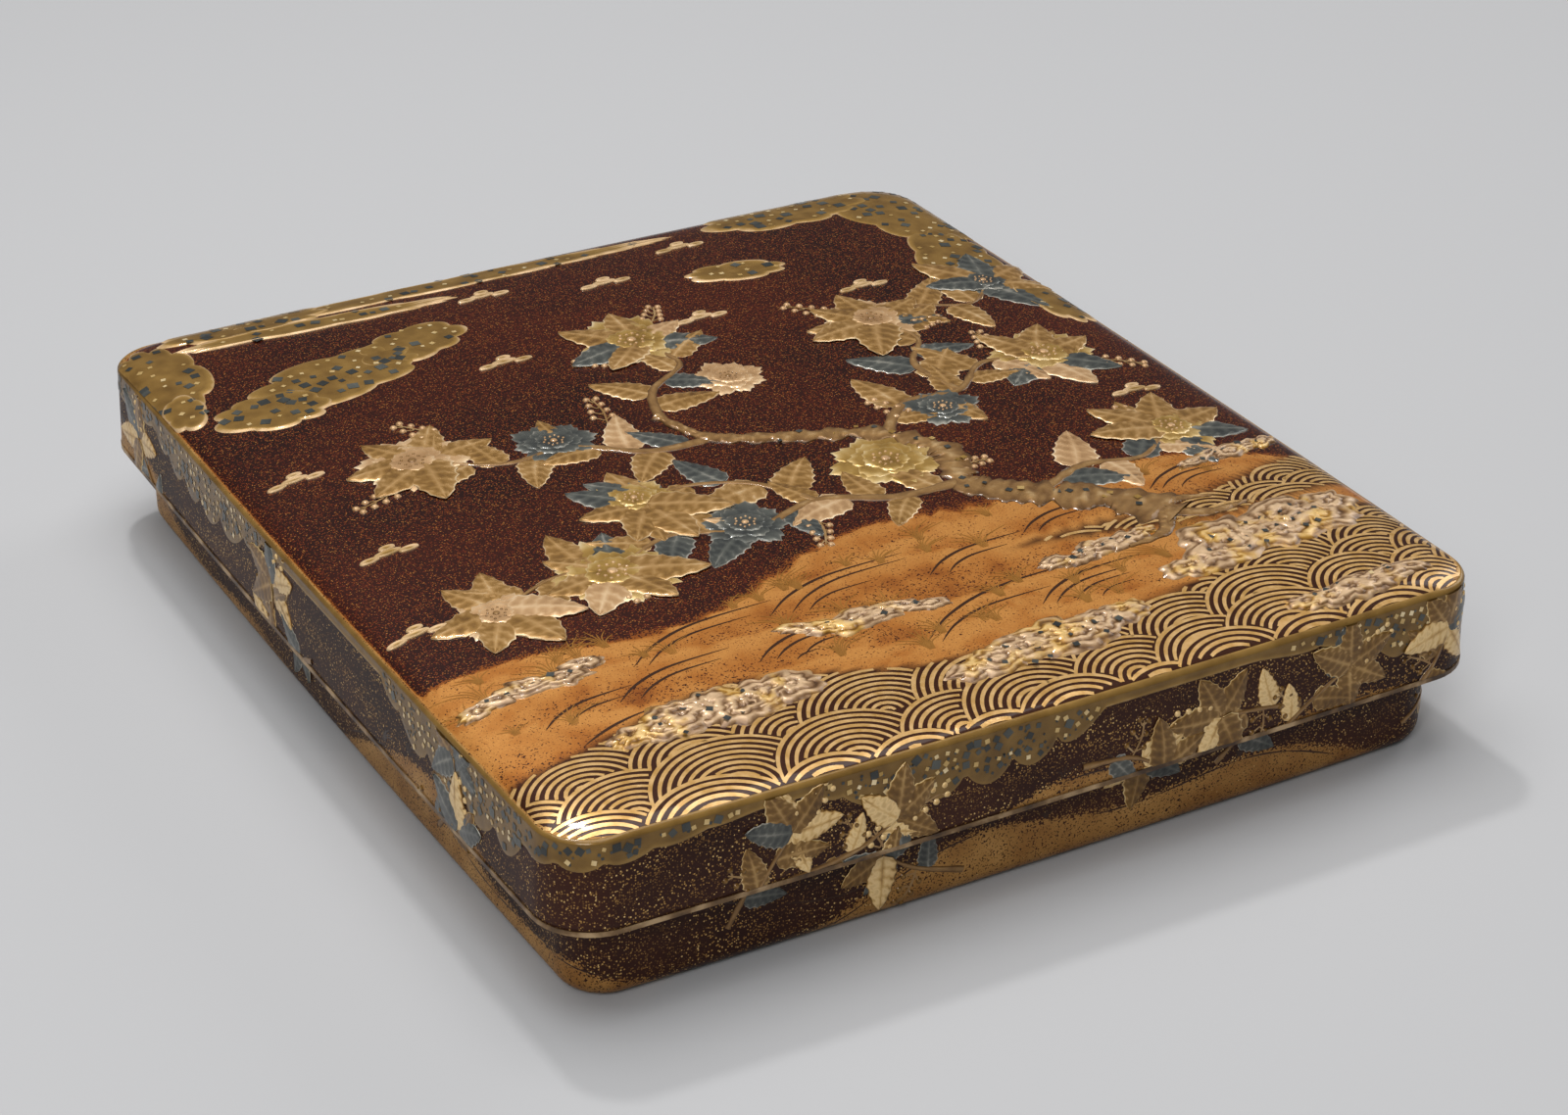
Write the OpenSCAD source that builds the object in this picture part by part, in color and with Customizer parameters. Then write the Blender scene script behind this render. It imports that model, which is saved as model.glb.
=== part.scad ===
// Lacquered writing box with an overlapping lid, fitted with two lift-out
// trays and a board that seats an inkstone and a water dropper.
// +X runs along the picture's lower edge, +Y up the picture, +Z up.
// The origin is at the middle of the underside.

/* [Lid] */
// Length of the lid at its mouth, along Y
lid_length = 240; // [228:1:262]
// Width of the lid at its mouth, along X
lid_width = 210; // [204:1:232]
// Thickness of the lid's walls at the mouth
lid_wall = 5; // [4:0.1:6]
// How far the lid's walls hang below the edge of its top
lid_depth = 19.5; // [14:0.5:24]
// Outer radius of the lid's corners
corner_radius = 12; // [9:0.5:18]
// How far each side swells out at its middle
side_swell = 1.1; // [0:0.1:2.5]
// How far the lid's walls lean in between mouth and top edge
wall_lean = 0.8; // [0:0.1:1.4]
// Thickness of the lid's top at its edge
top_edge = 4; // [3:0.1:6]
// Rise of the crowned top above its edge
crown_height = 5.2; // [1:0.1:7]
// Depth of the hollow in the lid's ceiling
ceiling_dish = 2.4; // [0.5:0.1:3]

/* [Box] */
// Height of the box from the table to its mouth
box_height = 35; // [33:0.5:44]
// Thickness of the box's walls
box_wall = 4.6; // [4:0.1:6]
// Gap all round between box and lid
slip_gap = 0.8; // [0.4:0.1:1.2]
// Outer radius of the box's corners
box_corner_radius = 9.5; // [8:0.5:12]
// Radius of the rounded lower edge
foot_radius = 4.6; // [2:0.1:4.8]
// Thickness of the floor board
floor_thickness = 5; // [4:0.1:6]
// Depth of the rabbets that hold floor and top in their walls
rabbet = 1.4; // [0.8:0.1:2]
// Height of the metal rims on both mouths
rim_height = 1; // [0.6:0.1:1.6]
// How far the lid's rim stands proud of its walls
rim_proud = 0.15; // [0:0.05:0.3]

/* [Inkstone board] */
// Thickness of the board
board_thickness = 6; // [5:0.5:8]
// Thickness of the board left under its two seats
seat_floor = 1.6; // [1.2:0.1:2.4]
// Gap round the board, and round what sits in its seats
seat_gap = 0.5; // [0.3:0.1:0.8]
// Width of the raised moulding round each seat
moulding_width = 2.4; // [1.6:0.1:3]
// Height of the moulding
moulding_height = 1.2; // [0.8:0.1:1.8]
// Distance from the box's end walls to the two seats
seat_end_gap = 12; // [8:0.5:14]

/* [Inkstone] */
// Length of the inkstone
stone_length = 130; // [110:1:136]
// Width of the inkstone
stone_width = 70; // [58:1:72]
// Thickness of the inkstone
stone_thickness = 12; // [10:0.5:14]
// Width of the inkstone's raised border
stone_border = 4.5; // [3:0.1:6]
// Depth of the grinding face below the border
grind_depth = 1.8; // [1:0.1:2.4]
// Depth of the ink well at its deepest
well_depth = 7.6; // [6:0.1:8.5]
// Length of the ink well
well_length = 30; // [24:1:36]

/* [Water dropper] */
// Side of the square water dropper
dropper_side = 34; // [26:1:38]
// Height of the water dropper's body, without its cover
dropper_height = 10; // [8:0.5:12]
// Thickness of the cover at its edge
cover_edge = 1.2; // [0.8:0.1:1.6]
// Rise of the cover's middle above its edge
cover_rise = 1.6; // [0.6:0.1:2]
// Thickness of the water dropper's sides and base
dropper_wall = 1; // [0.8:0.1:1.6]
// Radius of the pouring and air holes
dropper_hole = 1.1; // [0.8:0.1:1.5]

/* [Trays] */
// Width of each tray
tray_width = 50; // [48:0.5:51]
// Height of each tray
tray_height = 15; // [14:0.5:16]
// Thickness of the trays' walls
tray_wall = 2.4; // [2:0.1:3]
// Thickness of the trays' floors
tray_floor = 2.2; // [1.8:0.1:2.6]
// Gap between tray and box
tray_gap = 0.8; // [0.5:0.1:1.2]
// Height of the ledges that carry the trays, from the floor board
ledge_height = 11.5; // [10.5:0.5:12.5]
// Depth of the ledges, out from the wall
ledge_depth = 4; // [3:0.1:5]
// Radius of the finger notch in each tray's ends
notch_radius = 9; // [6:0.5:11]

/* [Brushes] */
// Radius of a brush's bamboo handle
handle_radius = 3.6; // [3:0.1:4]
// Length of the handle
handle_length = 140; // [120:1:142]
// Length of hair that shows
hair_length = 20; // [14:1:22]
// Outer radius of the brush cap
cap_radius = 5; // [4.6:0.1:5.4]
// Length of the brush cap
cap_length = 38; // [34:1:38]
// Length of handle that the cap covers
cap_overlap = 12; // [8:1:13]
// Gap between cap and handle
cap_gap = 0.3; // [0.2:0.05:0.4]
// Distance between the two brushes
brush_pitch = 22; // [18:1:24]
// Height of the notched bars that the brushes lie on
rest_height = 6.5; // [6:0.1:7]

/* [Tools] */
// Distance between the tools that lie side by side
tool_side_gap = 2; // [1:0.1:2.5]
// Distance from the tray's ends to the tools
tool_end_gap = 5; // [3:0.5:6]
// Length of the ink stick
ink_length = 86; // [60:1:88]
// Width of the ink stick
ink_width = 20; // [14:1:22]
// Thickness of the ink stick
ink_thickness = 9; // [7:0.5:10]
// Length of the ink stick's wooden holder
holder_length = 84; // [70:1:88]
// Width of the holder across both jaws
holder_width = 13; // [11:0.5:15]
// Height of the holder
holder_height = 7; // [6:0.5:8]
// Length of the paper knife's handle
grip_length = 80; // [70:1:84]
// Width of the paper knife's handle
grip_width = 10; // [9:0.5:11]
// Height of the paper knife's handle and sheath
grip_height = 7; // [6:0.5:8]
// Length of the paper knife's sheath
sheath_length = 60; // [54:1:60]
// Length of the awl's handle
awl_length = 84; // [70:1:90]
// Radius of the awl's handle at its thickest
awl_radius = 3.5; // [3:0.1:3.8]

/* [Hidden] */

// Lacquer, metal, stone and tool colours
nashiji = "#5b2916";
dark_nashiji = "#2e1710";
pale_gold = "#b58d5a";
pewter = "#8f8c86";
slate = "#3c3f42";
silver = "#a9a9a4";
tray_lacquer = "#4a2013";
bamboo = "#b98d54";
hair_colour = "#d9cbb0";
ink_black = "#1b1a1c";
dark_wood = "#4b2e1c";
steel = "#8d9094";

// Steps along each corner's arc and along each side of an outline
corner_steps = 9;
side_steps = 8;
// Thickness of the slices that a rounded form is hulled from
slice = 0.01;
// How far a cut runs past what it cuts
over = 1;

// Heights of the box's and lid's levels above the table
ceiling_z = box_height;
top_edge_z = box_height + top_edge;
mouth_z = top_edge_z - lid_depth;
floor_z = floor_thickness;
board_top_z = floor_z + board_thickness;
seat_z = floor_z + seat_floor;
ledge_top_z = floor_z + ledge_height;
tray_floor_z = ledge_top_z + tray_floor;
tray_top_z = ledge_top_z + tray_height;

// Plan sizes, each as [width, length, corner radius]
lid_inner = [lid_width - 2 * lid_wall, lid_length - 2 * lid_wall, corner_radius - lid_wall];
box_outer = [lid_inner.x - 2 * slip_gap, lid_inner.y - 2 * slip_gap, box_corner_radius];
box_inner = [box_outer.x - 2 * box_wall, box_outer.y - 2 * box_wall, box_corner_radius - box_wall];

// The inkstone stands by the front end of the box, the dropper by the back
stone_y = -box_inner.y / 2 + seat_end_gap + stone_length / 2;
dropper_y = box_inner.y / 2 - seat_end_gap - dropper_side / 2;

// ---- Outlines -------------------------------------------------------------

// Corner c's arc and the straight side after it, anticlockwise from +X +Y
function corner_arc(w, l, r, c) = [
    for (k = [0 : corner_steps])
        let (a = 90 * (c + k / corner_steps), sx = (c == 0 || c == 3) ? 1 : -1, sy = c < 2 ? 1 : -1)
        [sx * (w / 2 - r) + r * cos(a), sy * (l / 2 - r) + r * sin(a)]
];
function side_points(from, to) = [
    for (k = [1 : side_steps - 1]) from + (to - from) * k / side_steps
];
function rounded_points(w, l, r) = [
    for (c = [0 : 3])
        let (here = corner_arc(w, l, r, c), next = corner_arc(w, l, r, (c + 1) % 4))
        each concat(here, side_points(here[corner_steps], next[0]))
];
// A rounded rectangle whose sides swell out by b at their middles
function swelled_points(w, l, r, b) = [
    for (p = rounded_points(w, l, r))
        let (u = 2 * p.x / w, v = 2 * p.y / l)
        [p.x + b * u * (1 - v * v), p.y + b * v * (1 - u * u)]
];

module swelled(size, inset = 0) {
    polygon(swelled_points(size[0] - 2 * inset, size[1] - 2 * inset, max(size[2] - inset, 1), side_swell));
}
module rounded(w, l, r) {
    polygon(rounded_points(w, l, r));
}
module prism(size, z0, z1, inset = 0) {
    translate([0, 0, z0]) linear_extrude(z1 - z0) swelled(size, inset);
}

// The part of a frame of plan size [w, l] that one mitred wall takes
wedge_reach = 10;
wedge_depth = 26;
module mitre_wedge(size, z0, z1, side) {
    w = size[0] / 2 + wedge_reach;
    l = size[1] / 2 + wedge_reach;
    k = wedge_depth;
    points = side == "front" ? [[-w, -l], [w, -l], [w - k, -l + k], [-w + k, -l + k]]
        : side == "back" ? [[w, l], [-w, l], [-w + k, l - k], [w - k, l - k]]
        : side == "left" ? [[-w, l], [-w, -l], [-w + k, -l + k], [-w + k, l - k]]
        : [[w, -l], [w, l], [w - k, l - k], [w - k, -l + k]];
    translate([0, 0, z0]) linear_extrude(z1 - z0) polygon(points);
}

// ---- Lid ------------------------------------------------------------------

// Rise of the crowned top at a distance d in from its edge: a short steep
// shoulder and then a long gentle dome
shoulder_share = 0.3;
shoulder_reach = 2.5;
function crown(d) =
    crown_height * (shoulder_share * (1 - exp(-d / shoulder_reach))
        + (1 - shoulder_share) * (1 - pow(1 - d / (lid_width / 2), 4)));
// Distances in from the edge at which the crown is sliced
crown_steps = [0.6, 1.4, 2.6, 4.5, 8, 13, 20, 30, 44, 62, 84];
// Contours of the crown grow rounder towards the middle
contour_rounding = 0.35;

function lean_at(z) = wall_lean * (z - mouth_z) / lid_depth;

module lid_slice(z, proud = 0) {
    inset = lean_at(z) - proud;
    translate([0, 0, z])
        linear_extrude(slice)
            polygon(swelled_points(lid_width - 2 * inset, lid_length - 2 * inset, corner_radius, side_swell));
}

module lid_top_board() {
    edge = wall_lean;
    color(nashiji)
        difference() {
            union() {
                hull() {
                    lid_slice(ceiling_z + rabbet);
                    lid_slice(top_edge_z - slice);
                    for (d = crown_steps)
                        translate([0, 0, top_edge_z + crown(d) - slice])
                            linear_extrude(slice)
                                polygon(swelled_points(
                                    lid_width - 2 * (edge + d), lid_length - 2 * (edge + d),
                                    corner_radius + contour_rounding * d, side_swell));
                }
                prism(lid_inner, ceiling_z, ceiling_z + rabbet + slice);
            }
            ceiling_hollow();
        }
}

// The shallow dish that thins the middle of the lid's top
dish_margin = 14;
dish_bank = 18;
module ceiling_hollow() {
    lead = over * dish_bank / ceiling_dish;
    hull() {
        translate([0, 0, ceiling_z - over])
            linear_extrude(slice) swelled(lid_inner, dish_margin - lead);
        translate([0, 0, ceiling_z + ceiling_dish])
            linear_extrude(slice) swelled(lid_inner, dish_margin + dish_bank);
    }
}

module lid_wall_piece(side) {
    z0 = mouth_z + rim_height;
    z1 = ceiling_z + rabbet;
    color(dark_nashiji)
        intersection() {
            difference() {
                hull() {
                    lid_slice(z0);
                    lid_slice(z1 - slice);
                }
                prism(lid_inner, z0 - over, z1 + over);
            }
            mitre_wedge([lid_width, lid_length], z0 - over, z1 + over, side);
        }
}

module lid_mouth_rim() {
    color(pale_gold)
        difference() {
            prism([lid_width, lid_length, corner_radius], mouth_z, mouth_z + rim_height, -rim_proud);
            prism(lid_inner, mouth_z - over, mouth_z + rim_height + over);
        }
}

// ---- Box ------------------------------------------------------------------

foot_steps = 6;
module box_shape() {
    hull() {
        for (k = [0 : foot_steps])
            let (a = 90 * k / foot_steps)
            translate([0, 0, foot_radius * (1 - cos(a))])
                linear_extrude(slice)
                    swelled(box_outer, foot_radius * (1 - sin(a)));
        translate([0, 0, box_height - rim_height - slice]) linear_extrude(slice) swelled(box_outer);
    }
}

wall_foot_z = floor_thickness - rabbet;

module box_floor() {
    color(nashiji)
        union() {
            intersection() {
                box_shape();
                prism(box_outer, -over, wall_foot_z, -over);
            }
            prism(box_inner, wall_foot_z - slice, floor_z);
        }
}

module box_wall_piece(side) {
    color(dark_nashiji)
        intersection() {
            difference() {
                box_shape();
                prism(box_inner, -over, box_height + over);
                prism(box_outer, -over, wall_foot_z, -over);
            }
            mitre_wedge(box_outer, wall_foot_z - over, box_height + over, side);
        }
}

module box_mouth_rim() {
    color(pewter)
        difference() {
            prism(box_outer, box_height - rim_height, box_height);
            prism(box_inner, box_height - rim_height - over, box_height + over);
        }
}

// A ledge follows the wall behind it; sx and sy pick its corner of the box
ledge_end_gap = 6.5;
ledge_inner_x = box_inner.x / 2 - tray_gap - tray_width;
module ledge_block(sx, sy, grow = 0) {
    x0 = ledge_inner_x;
    x1 = box_inner.x / 2 - ledge_end_gap;
    y1 = box_inner.y / 2 - ledge_depth;
    scale_x = sx > 0 ? 0 : 1;
    scale_y = sy > 0 ? 0 : 1;
    mirror([scale_x, 0, 0]) mirror([0, scale_y, 0])
        translate([x0 - grow, y1 - grow, floor_z - grow])
            cube([x1 - x0 + 2 * grow, ledge_depth + side_swell + over, ledge_height + grow]);
}
module tray_ledge(sx, sy) {
    color(tray_lacquer)
        intersection() {
            ledge_block(sx, sy);
            prism(box_inner, 0, box_height);
        }
}

// ---- Inkstone board -------------------------------------------------------

stone_corner = 5;
dropper_corner = 6;
moulding_gap = 0.4;
stone_seat = [stone_width + 2 * seat_gap, stone_length + 2 * seat_gap];
dropper_seat = dropper_side + 2 * seat_gap;

module seat_cut(w, l, r, y) {
    translate([0, y, seat_z]) linear_extrude(board_thickness + over) rounded(w, l, r);
}
module stone_board() {
    color(tray_lacquer)
        difference() {
            prism(box_inner, floor_z, board_top_z, seat_gap);
            seat_cut(stone_seat.x, stone_seat.y, stone_corner + seat_gap, stone_y);
            seat_cut(dropper_seat, dropper_seat, dropper_corner + seat_gap, dropper_y);
            for (sx = [-1, 1], sy = [-1, 1]) ledge_block(sx, sy, seat_gap);
        }
}
// A low rounded strip round a seat, glued on the board
module seat_moulding(w, l, r, y) {
    inner = seat_gap + moulding_gap;
    outer = inner + moulding_width;
    lip = moulding_width / 4;
    color(pale_gold)
        translate([0, y, board_top_z])
            difference() {
                union() {
                    linear_extrude(moulding_height / 2)
                        rounded(w + 2 * outer, l + 2 * outer, r + outer);
                    translate([0, 0, moulding_height / 2 - slice])
                        linear_extrude(moulding_height / 2)
                            rounded(w + 2 * (outer - lip), l + 2 * (outer - lip), r + outer - lip);
                }
                translate([0, 0, -over])
                    linear_extrude(moulding_height + 2 * over)
                        rounded(w + 2 * inner, l + 2 * inner, r + inner);
            }
}

module stone_seat_moulding() {
    seat_moulding(stone_width, stone_length, stone_corner, stone_y);
}
module dropper_seat_moulding() {
    seat_moulding(dropper_side, dropper_side, dropper_corner, dropper_y);
}

// ---- Inkstone and water dropper -------------------------------------------

// Side view of what is cut out of the stone: a near-level grinding face
// that curves down into the well at the far end
bank_steps = 10;
module inkstone() {
    edge = 0.8;
    top_z = seat_z + stone_thickness;
    inner_l = stone_length - 2 * stone_border;
    near = -inner_l / 2;
    far = inner_l / 2;
    bank = far - well_length;
    cut = concat(
        [[near, over], [near, -grind_depth]],
        [for (k = [0 : bank_steps])
            let (t = k / bank_steps, s = t * t * (3 - 2 * t))
            [bank + t * well_length * 0.62, -grind_depth - (well_depth - grind_depth) * s]],
        [[far, -well_depth], [far, over]]);
    color(slate)
        difference() {
            union() {
                translate([0, stone_y, seat_z])
                    linear_extrude(stone_thickness - edge) rounded(stone_width, stone_length, stone_corner);
                translate([0, stone_y, top_z - edge - slice])
                    linear_extrude(edge + slice)
                        rounded(stone_width - 2 * edge, stone_length - 2 * edge, stone_corner - edge);
            }
            intersection() {
                translate([0, stone_y, top_z - well_depth - over])
                    linear_extrude(well_depth + 2 * over)
                        rounded(stone_width - 2 * stone_border, inner_l, stone_corner + 3);
                translate([stone_width / 2, stone_y, top_z])
                    rotate([90, 0, -90])
                        linear_extrude(stone_width)
                            mirror([1, 0]) polygon(cut);
            }
        }
}

module dropper_body() {
    inner = dropper_side - 2 * dropper_wall;
    color(silver)
        translate([0, dropper_y, seat_z])
            difference() {
                union() {
                    linear_extrude(1) rounded(dropper_side - 2, dropper_side - 2, dropper_corner - 1);
                    translate([0, 0, 1 - slice])
                        linear_extrude(dropper_height - 1 + slice)
                            rounded(dropper_side, dropper_side, dropper_corner);
                }
                translate([0, 0, 1 + dropper_wall])
                    linear_extrude(dropper_height) rounded(inner, inner, dropper_corner - dropper_wall);
            }
}
cover_steps = 5;
module dropper_cover() {
    z0 = seat_z + dropper_height;
    color(silver)
        translate([0, dropper_y, z0])
            difference() {
                hull() {
                    linear_extrude(cover_edge) rounded(dropper_side, dropper_side, dropper_corner);
                    for (k = [1 : cover_steps])
                        let (a = 90 * k / cover_steps, inset = 9 * (1 - cos(a)))
                        translate([0, 0, cover_edge + cover_rise * sin(a) - slice])
                            linear_extrude(slice)
                                rounded(dropper_side - 2 * inset, dropper_side - 2 * inset, dropper_corner);
                }
                for (p = [[0, 0], [dropper_side * 0.3, dropper_side * 0.3]])
                    translate([p.x, p.y, -over])
                        cylinder(r = dropper_hole, h = cover_edge + cover_rise + 2 * over, $fn = 32);
            }
}

// ---- Trays ----------------------------------------------------------------

tray_length = box_inner.y - 2 * tray_gap;
tray_corner = 5;
// Height of the finger notch's centre above the tray's top
notch_lift = 3;
tray_x = box_inner.x / 2 - tray_gap - tray_width / 2;

module tray_floor_board(sx) {
    color(tray_lacquer)
        translate([sx * tray_x, 0, ledge_top_z])
            linear_extrude(tray_floor) rounded(tray_width, tray_length, tray_corner);
}
// The walls stand on the floor board and meet at mitres; the ends have a
// notch for a finger
module tray_wall_piece(sx, side) {
    h = tray_top_z - tray_floor_z;
    inner_w = tray_width - 2 * tray_wall;
    color(tray_lacquer)
        translate([sx * tray_x, 0, tray_floor_z])
            intersection() {
                difference() {
                    linear_extrude(h) rounded(tray_width, tray_length, tray_corner);
                    translate([0, 0, -over])
                        linear_extrude(h + 2 * over)
                            rounded(inner_w, tray_length - 2 * tray_wall, tray_corner - tray_wall);
                    translate([0, tray_length / 2 + over, h + notch_lift])
                        rotate([90, 0, 0])
                            cylinder(r = notch_radius, h = tray_length + 2 * over, $fn = 64);
                }
                mitre_wedge([tray_width, tray_length], -over, h + over, side);
            }
}

// ---- Brushes --------------------------------------------------------------

brush_z = tray_floor_z + rest_height;
brush_butt_y = -tray_length / 2 + tray_wall + 10;
hair_y = brush_butt_y + handle_length;
hair_tang = 6;
tang_radius = handle_radius * 0.75;
cap_bore = handle_radius + cap_gap;
rest_depth = 5;

function brush_x(n) = tray_x + (n == 1 ? -0.5 : 0.5) * brush_pitch;

// The two bars stand under the ends of the bare handle
module brush_rest(y) {
    color(tray_lacquer)
        difference() {
            translate([tray_x - tray_width / 2 + tray_wall, y - rest_depth / 2, tray_floor_z])
                cube([tray_width - 2 * tray_wall, rest_depth, rest_height]);
            for (n = [1, 2])
                translate([brush_x(n), y - rest_depth, brush_z])
                    rotate([-90, 0, 0]) cylinder(r = handle_radius + cap_gap, h = 2 * rest_depth, $fn = 48);
        }
}
rest_front_y = brush_butt_y + 22;
rest_back_y = hair_y - cap_overlap - 22;

// A turned form lying along Y: profile points are [radius, distance along Y]
module turned(x, z, y, profile) {
    translate([x, y, z]) rotate([-90, 0, 0]) rotate_extrude($fn = 48) polygon(profile);
}

// Bamboo has a low ring at each joint
node_ring = 0.35;
module brush_handle(n) {
    ring_at = handle_length * 0.3;
    color(bamboo)
        turned(brush_x(n), brush_z, brush_butt_y, [
            [0, 0], [handle_radius - 0.8, 0], [handle_radius - 0.2, 0.9],
            [handle_radius - 0.2, ring_at - 1.5], [handle_radius - 0.2 + node_ring, ring_at],
            [handle_radius - 0.1, ring_at + 1.5], [handle_radius, handle_length - 20],
            [handle_radius, handle_length], [tang_radius, handle_length],
            [tang_radius, handle_length - hair_tang], [0, handle_length - hair_tang]
        ]);
}
hair_steps = 8;
module brush_hair(n) {
    base = handle_radius - 0.7;
    color(hair_colour)
        turned(brush_x(n), brush_z, hair_y, concat(
            [[0, -hair_tang], [tang_radius, -hair_tang], [tang_radius, 0], [base, 0]],
            [for (k = [1 : hair_steps - 1])
                let (t = k / hair_steps)
                [base * (1 + 0.35 * t) * (1 - pow(t, 2.2)), hair_length * t]],
            [[0, hair_length]]));
}
module brush_cap(n) {
    y = hair_y - cap_overlap;
    wall_end = 3;
    color(bamboo)
        turned(brush_x(n), brush_z, y, [
            [cap_bore, 0], [cap_radius - 0.3, 0], [cap_radius, 0.5], [cap_radius, cap_length - 1],
            [cap_radius - 1, cap_length], [0, cap_length], [0, cap_length - wall_end],
            [cap_bore, cap_length - wall_end]
        ]);
}

// ---- Tools in the left tray -----------------------------------------------

left_inner_x = -tray_x - tray_width / 2 + tray_wall;
tool_front_y = -tray_length / 2 + tray_wall + tool_end_gap;
ink_x = left_inner_x + tool_side_gap + ink_width / 2;
knife_x = ink_x + ink_width / 2 + tool_side_gap + grip_width / 2;
awl_x = knife_x + grip_width / 2 + tool_side_gap + awl_radius;
tool_gap = 0.3;

ink_corner = 3;
module ink_stick() {
    edge = 0.8;
    color(ink_black)
        translate([ink_x, tool_front_y + ink_length / 2, tray_floor_z])
            difference() {
                union() {
                    linear_extrude(ink_thickness - edge) rounded(ink_width, ink_length, ink_corner);
                    translate([0, 0, ink_thickness - edge - slice])
                        linear_extrude(edge + slice)
                            rounded(ink_width - 2 * edge, ink_length - 2 * edge, ink_corner - edge);
                }
                translate([0, 0, ink_thickness - 0.5])
                    linear_extrude(over) rounded(ink_width - 5, ink_length - 8, 2);
            }
}

holder_y = tray_length / 2 - tray_wall - tool_end_gap - holder_length;
jaw_gap = 1.6;
ring_length = 4;
ring_wall = 0.9;
ring_start = 14;
band_start = 3;
// One jaw, widest in the middle and drawn in towards the gripping end; the
// jaws meet under the band at the other end and spring apart from there
module holder_jaw(s) {
    w = holder_width / 2 - ring_wall;
    meet = band_start + ring_length + 2;
    color(dark_wood)
        translate([ink_x, holder_y, tray_floor_z + ring_wall])
            mirror([s > 0 ? 0 : 1, 0, 0])
                linear_extrude(holder_height - 2 * ring_wall)
                    polygon([
                        [0, 0], [w - 1, 0], [w, 1], [w, holder_length * 0.75],
                        [w - 0.8, holder_length * 0.85], [w - 2.1, holder_length - 1],
                        [w - 3.1, holder_length], [jaw_gap / 2, holder_length],
                        [jaw_gap / 2, meet + 3], [0, meet]
                    ]);
}
// The band fits tight round both jaws
module holder_band() {
    w = holder_width / 2;
    color(silver)
        translate([ink_x, holder_y + band_start, tray_floor_z])
            difference() {
                translate([-w, 0, 0]) cube([2 * w, ring_length, holder_height]);
                translate([-w + ring_wall, -over, ring_wall])
                    cube([2 * (w - ring_wall), ring_length + 2 * over, holder_height - 2 * ring_wall]);
            }
}
// The ring slides along the jaws with a gap all round
ring_gap = 0.1;
module holder_ring() {
    w = holder_width / 2;
    hole_w = w - ring_wall + ring_gap;
    color(silver)
        translate([ink_x, holder_y + ring_start, tray_floor_z])
            difference() {
                translate([-w, 0, ring_gap]) cube([2 * w, ring_length, holder_height - ring_gap]);
                translate([-hole_w, -over, ring_wall - ring_gap])
                    cube([2 * hole_w, ring_length + 2 * over, holder_height - 2 * (ring_wall - ring_gap)]);
            }
}

blade_length = sheath_length - 6;
blade_width = 6;
blade_thickness = 1.4;
blade_tang = 14;
blade_z = tray_floor_z + grip_height / 2 - blade_thickness / 2;
knife_y = tool_front_y;
sheath_y = knife_y + grip_length;

// Rounded bar lying along Y
module bar(x, y, length, w, h) {
    translate([x, y + length, tray_floor_z + h / 2])
        rotate([90, 0, 0]) linear_extrude(length) rounded(w, h, h / 3);
}
module knife_blade() {
    color(steel)
        translate([knife_x, sheath_y, blade_z])
            linear_extrude(blade_thickness)
                polygon([
                    [-blade_width / 4, -blade_tang], [blade_width / 4, -blade_tang], [blade_width / 4, 0],
                    [blade_width / 2, 0], [blade_width / 2, blade_length * 0.78],
                    [-blade_width / 2 + 0.6, blade_length], [-blade_width / 2, blade_length - 1],
                    [-blade_width / 2, 0], [-blade_width / 4, 0]
                ]);
}
module knife_grip() {
    color(dark_wood)
        difference() {
            bar(knife_x, knife_y, grip_length, grip_width, grip_height);
            translate([knife_x - blade_width / 4, sheath_y - blade_tang, blade_z])
                cube([blade_width / 2, blade_tang + over, blade_thickness]);
        }
}
module knife_sheath() {
    slot_w = blade_width + 2 * tool_gap;
    color(dark_wood)
        difference() {
            bar(knife_x, sheath_y, sheath_length, grip_width, grip_height);
            translate([knife_x - slot_w / 2, sheath_y - over, blade_z - tool_gap])
                cube([slot_w, blade_length + over + tool_gap, blade_thickness + 2 * tool_gap]);
        }
}

awl_z = tray_floor_z + awl_radius + tool_gap;
awl_point_length = 46;
awl_tang = 12;
awl_wire = 0.9;
module awl_grip() {
    color(dark_wood)
        turned(awl_x, awl_z, tool_front_y, [
            [0, 0], [awl_radius * 0.7, 0], [awl_radius, 1.5], [awl_radius, awl_length * 0.5],
            [awl_radius * 0.72, awl_length - 6], [awl_radius * 0.8, awl_length - 3],
            [awl_radius * 0.6, awl_length], [awl_wire, awl_length],
            [awl_wire, awl_length - awl_tang], [0, awl_length - awl_tang]
        ]);
}
module awl_point() {
    color(steel)
        turned(awl_x, awl_z, tool_front_y + awl_length, [
            [0, -awl_tang], [awl_wire, -awl_tang], [awl_wire, 4],
            [0.15, awl_point_length], [0, awl_point_length]
        ]);
}

// ---- Assembly -------------------------------------------------------------

lid_top_board();
lid_wall_piece("front");  // lid_wall_front
lid_wall_piece("back");  // lid_wall_back
lid_wall_piece("left");  // lid_wall_left
lid_wall_piece("right");  // lid_wall_right
lid_mouth_rim();
box_floor();
box_wall_piece("front");  // box_wall_front
box_wall_piece("back");  // box_wall_back
box_wall_piece("left");  // box_wall_left
box_wall_piece("right");  // box_wall_right
box_mouth_rim();
tray_ledge(-1, -1);  // tray_ledge_front_left
tray_ledge(1, -1);  // tray_ledge_front_right
tray_ledge(-1, 1);  // tray_ledge_back_left
tray_ledge(1, 1);  // tray_ledge_back_right
stone_board();
stone_seat_moulding();
dropper_seat_moulding();
inkstone();
dropper_body();
dropper_cover();
tray_floor_board(-1);  // left_tray_floor
tray_wall_piece(-1, "left");  // left_tray_outer_side
tray_wall_piece(-1, "right");  // left_tray_inner_side
tray_wall_piece(-1, "front");  // left_tray_front_end
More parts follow.
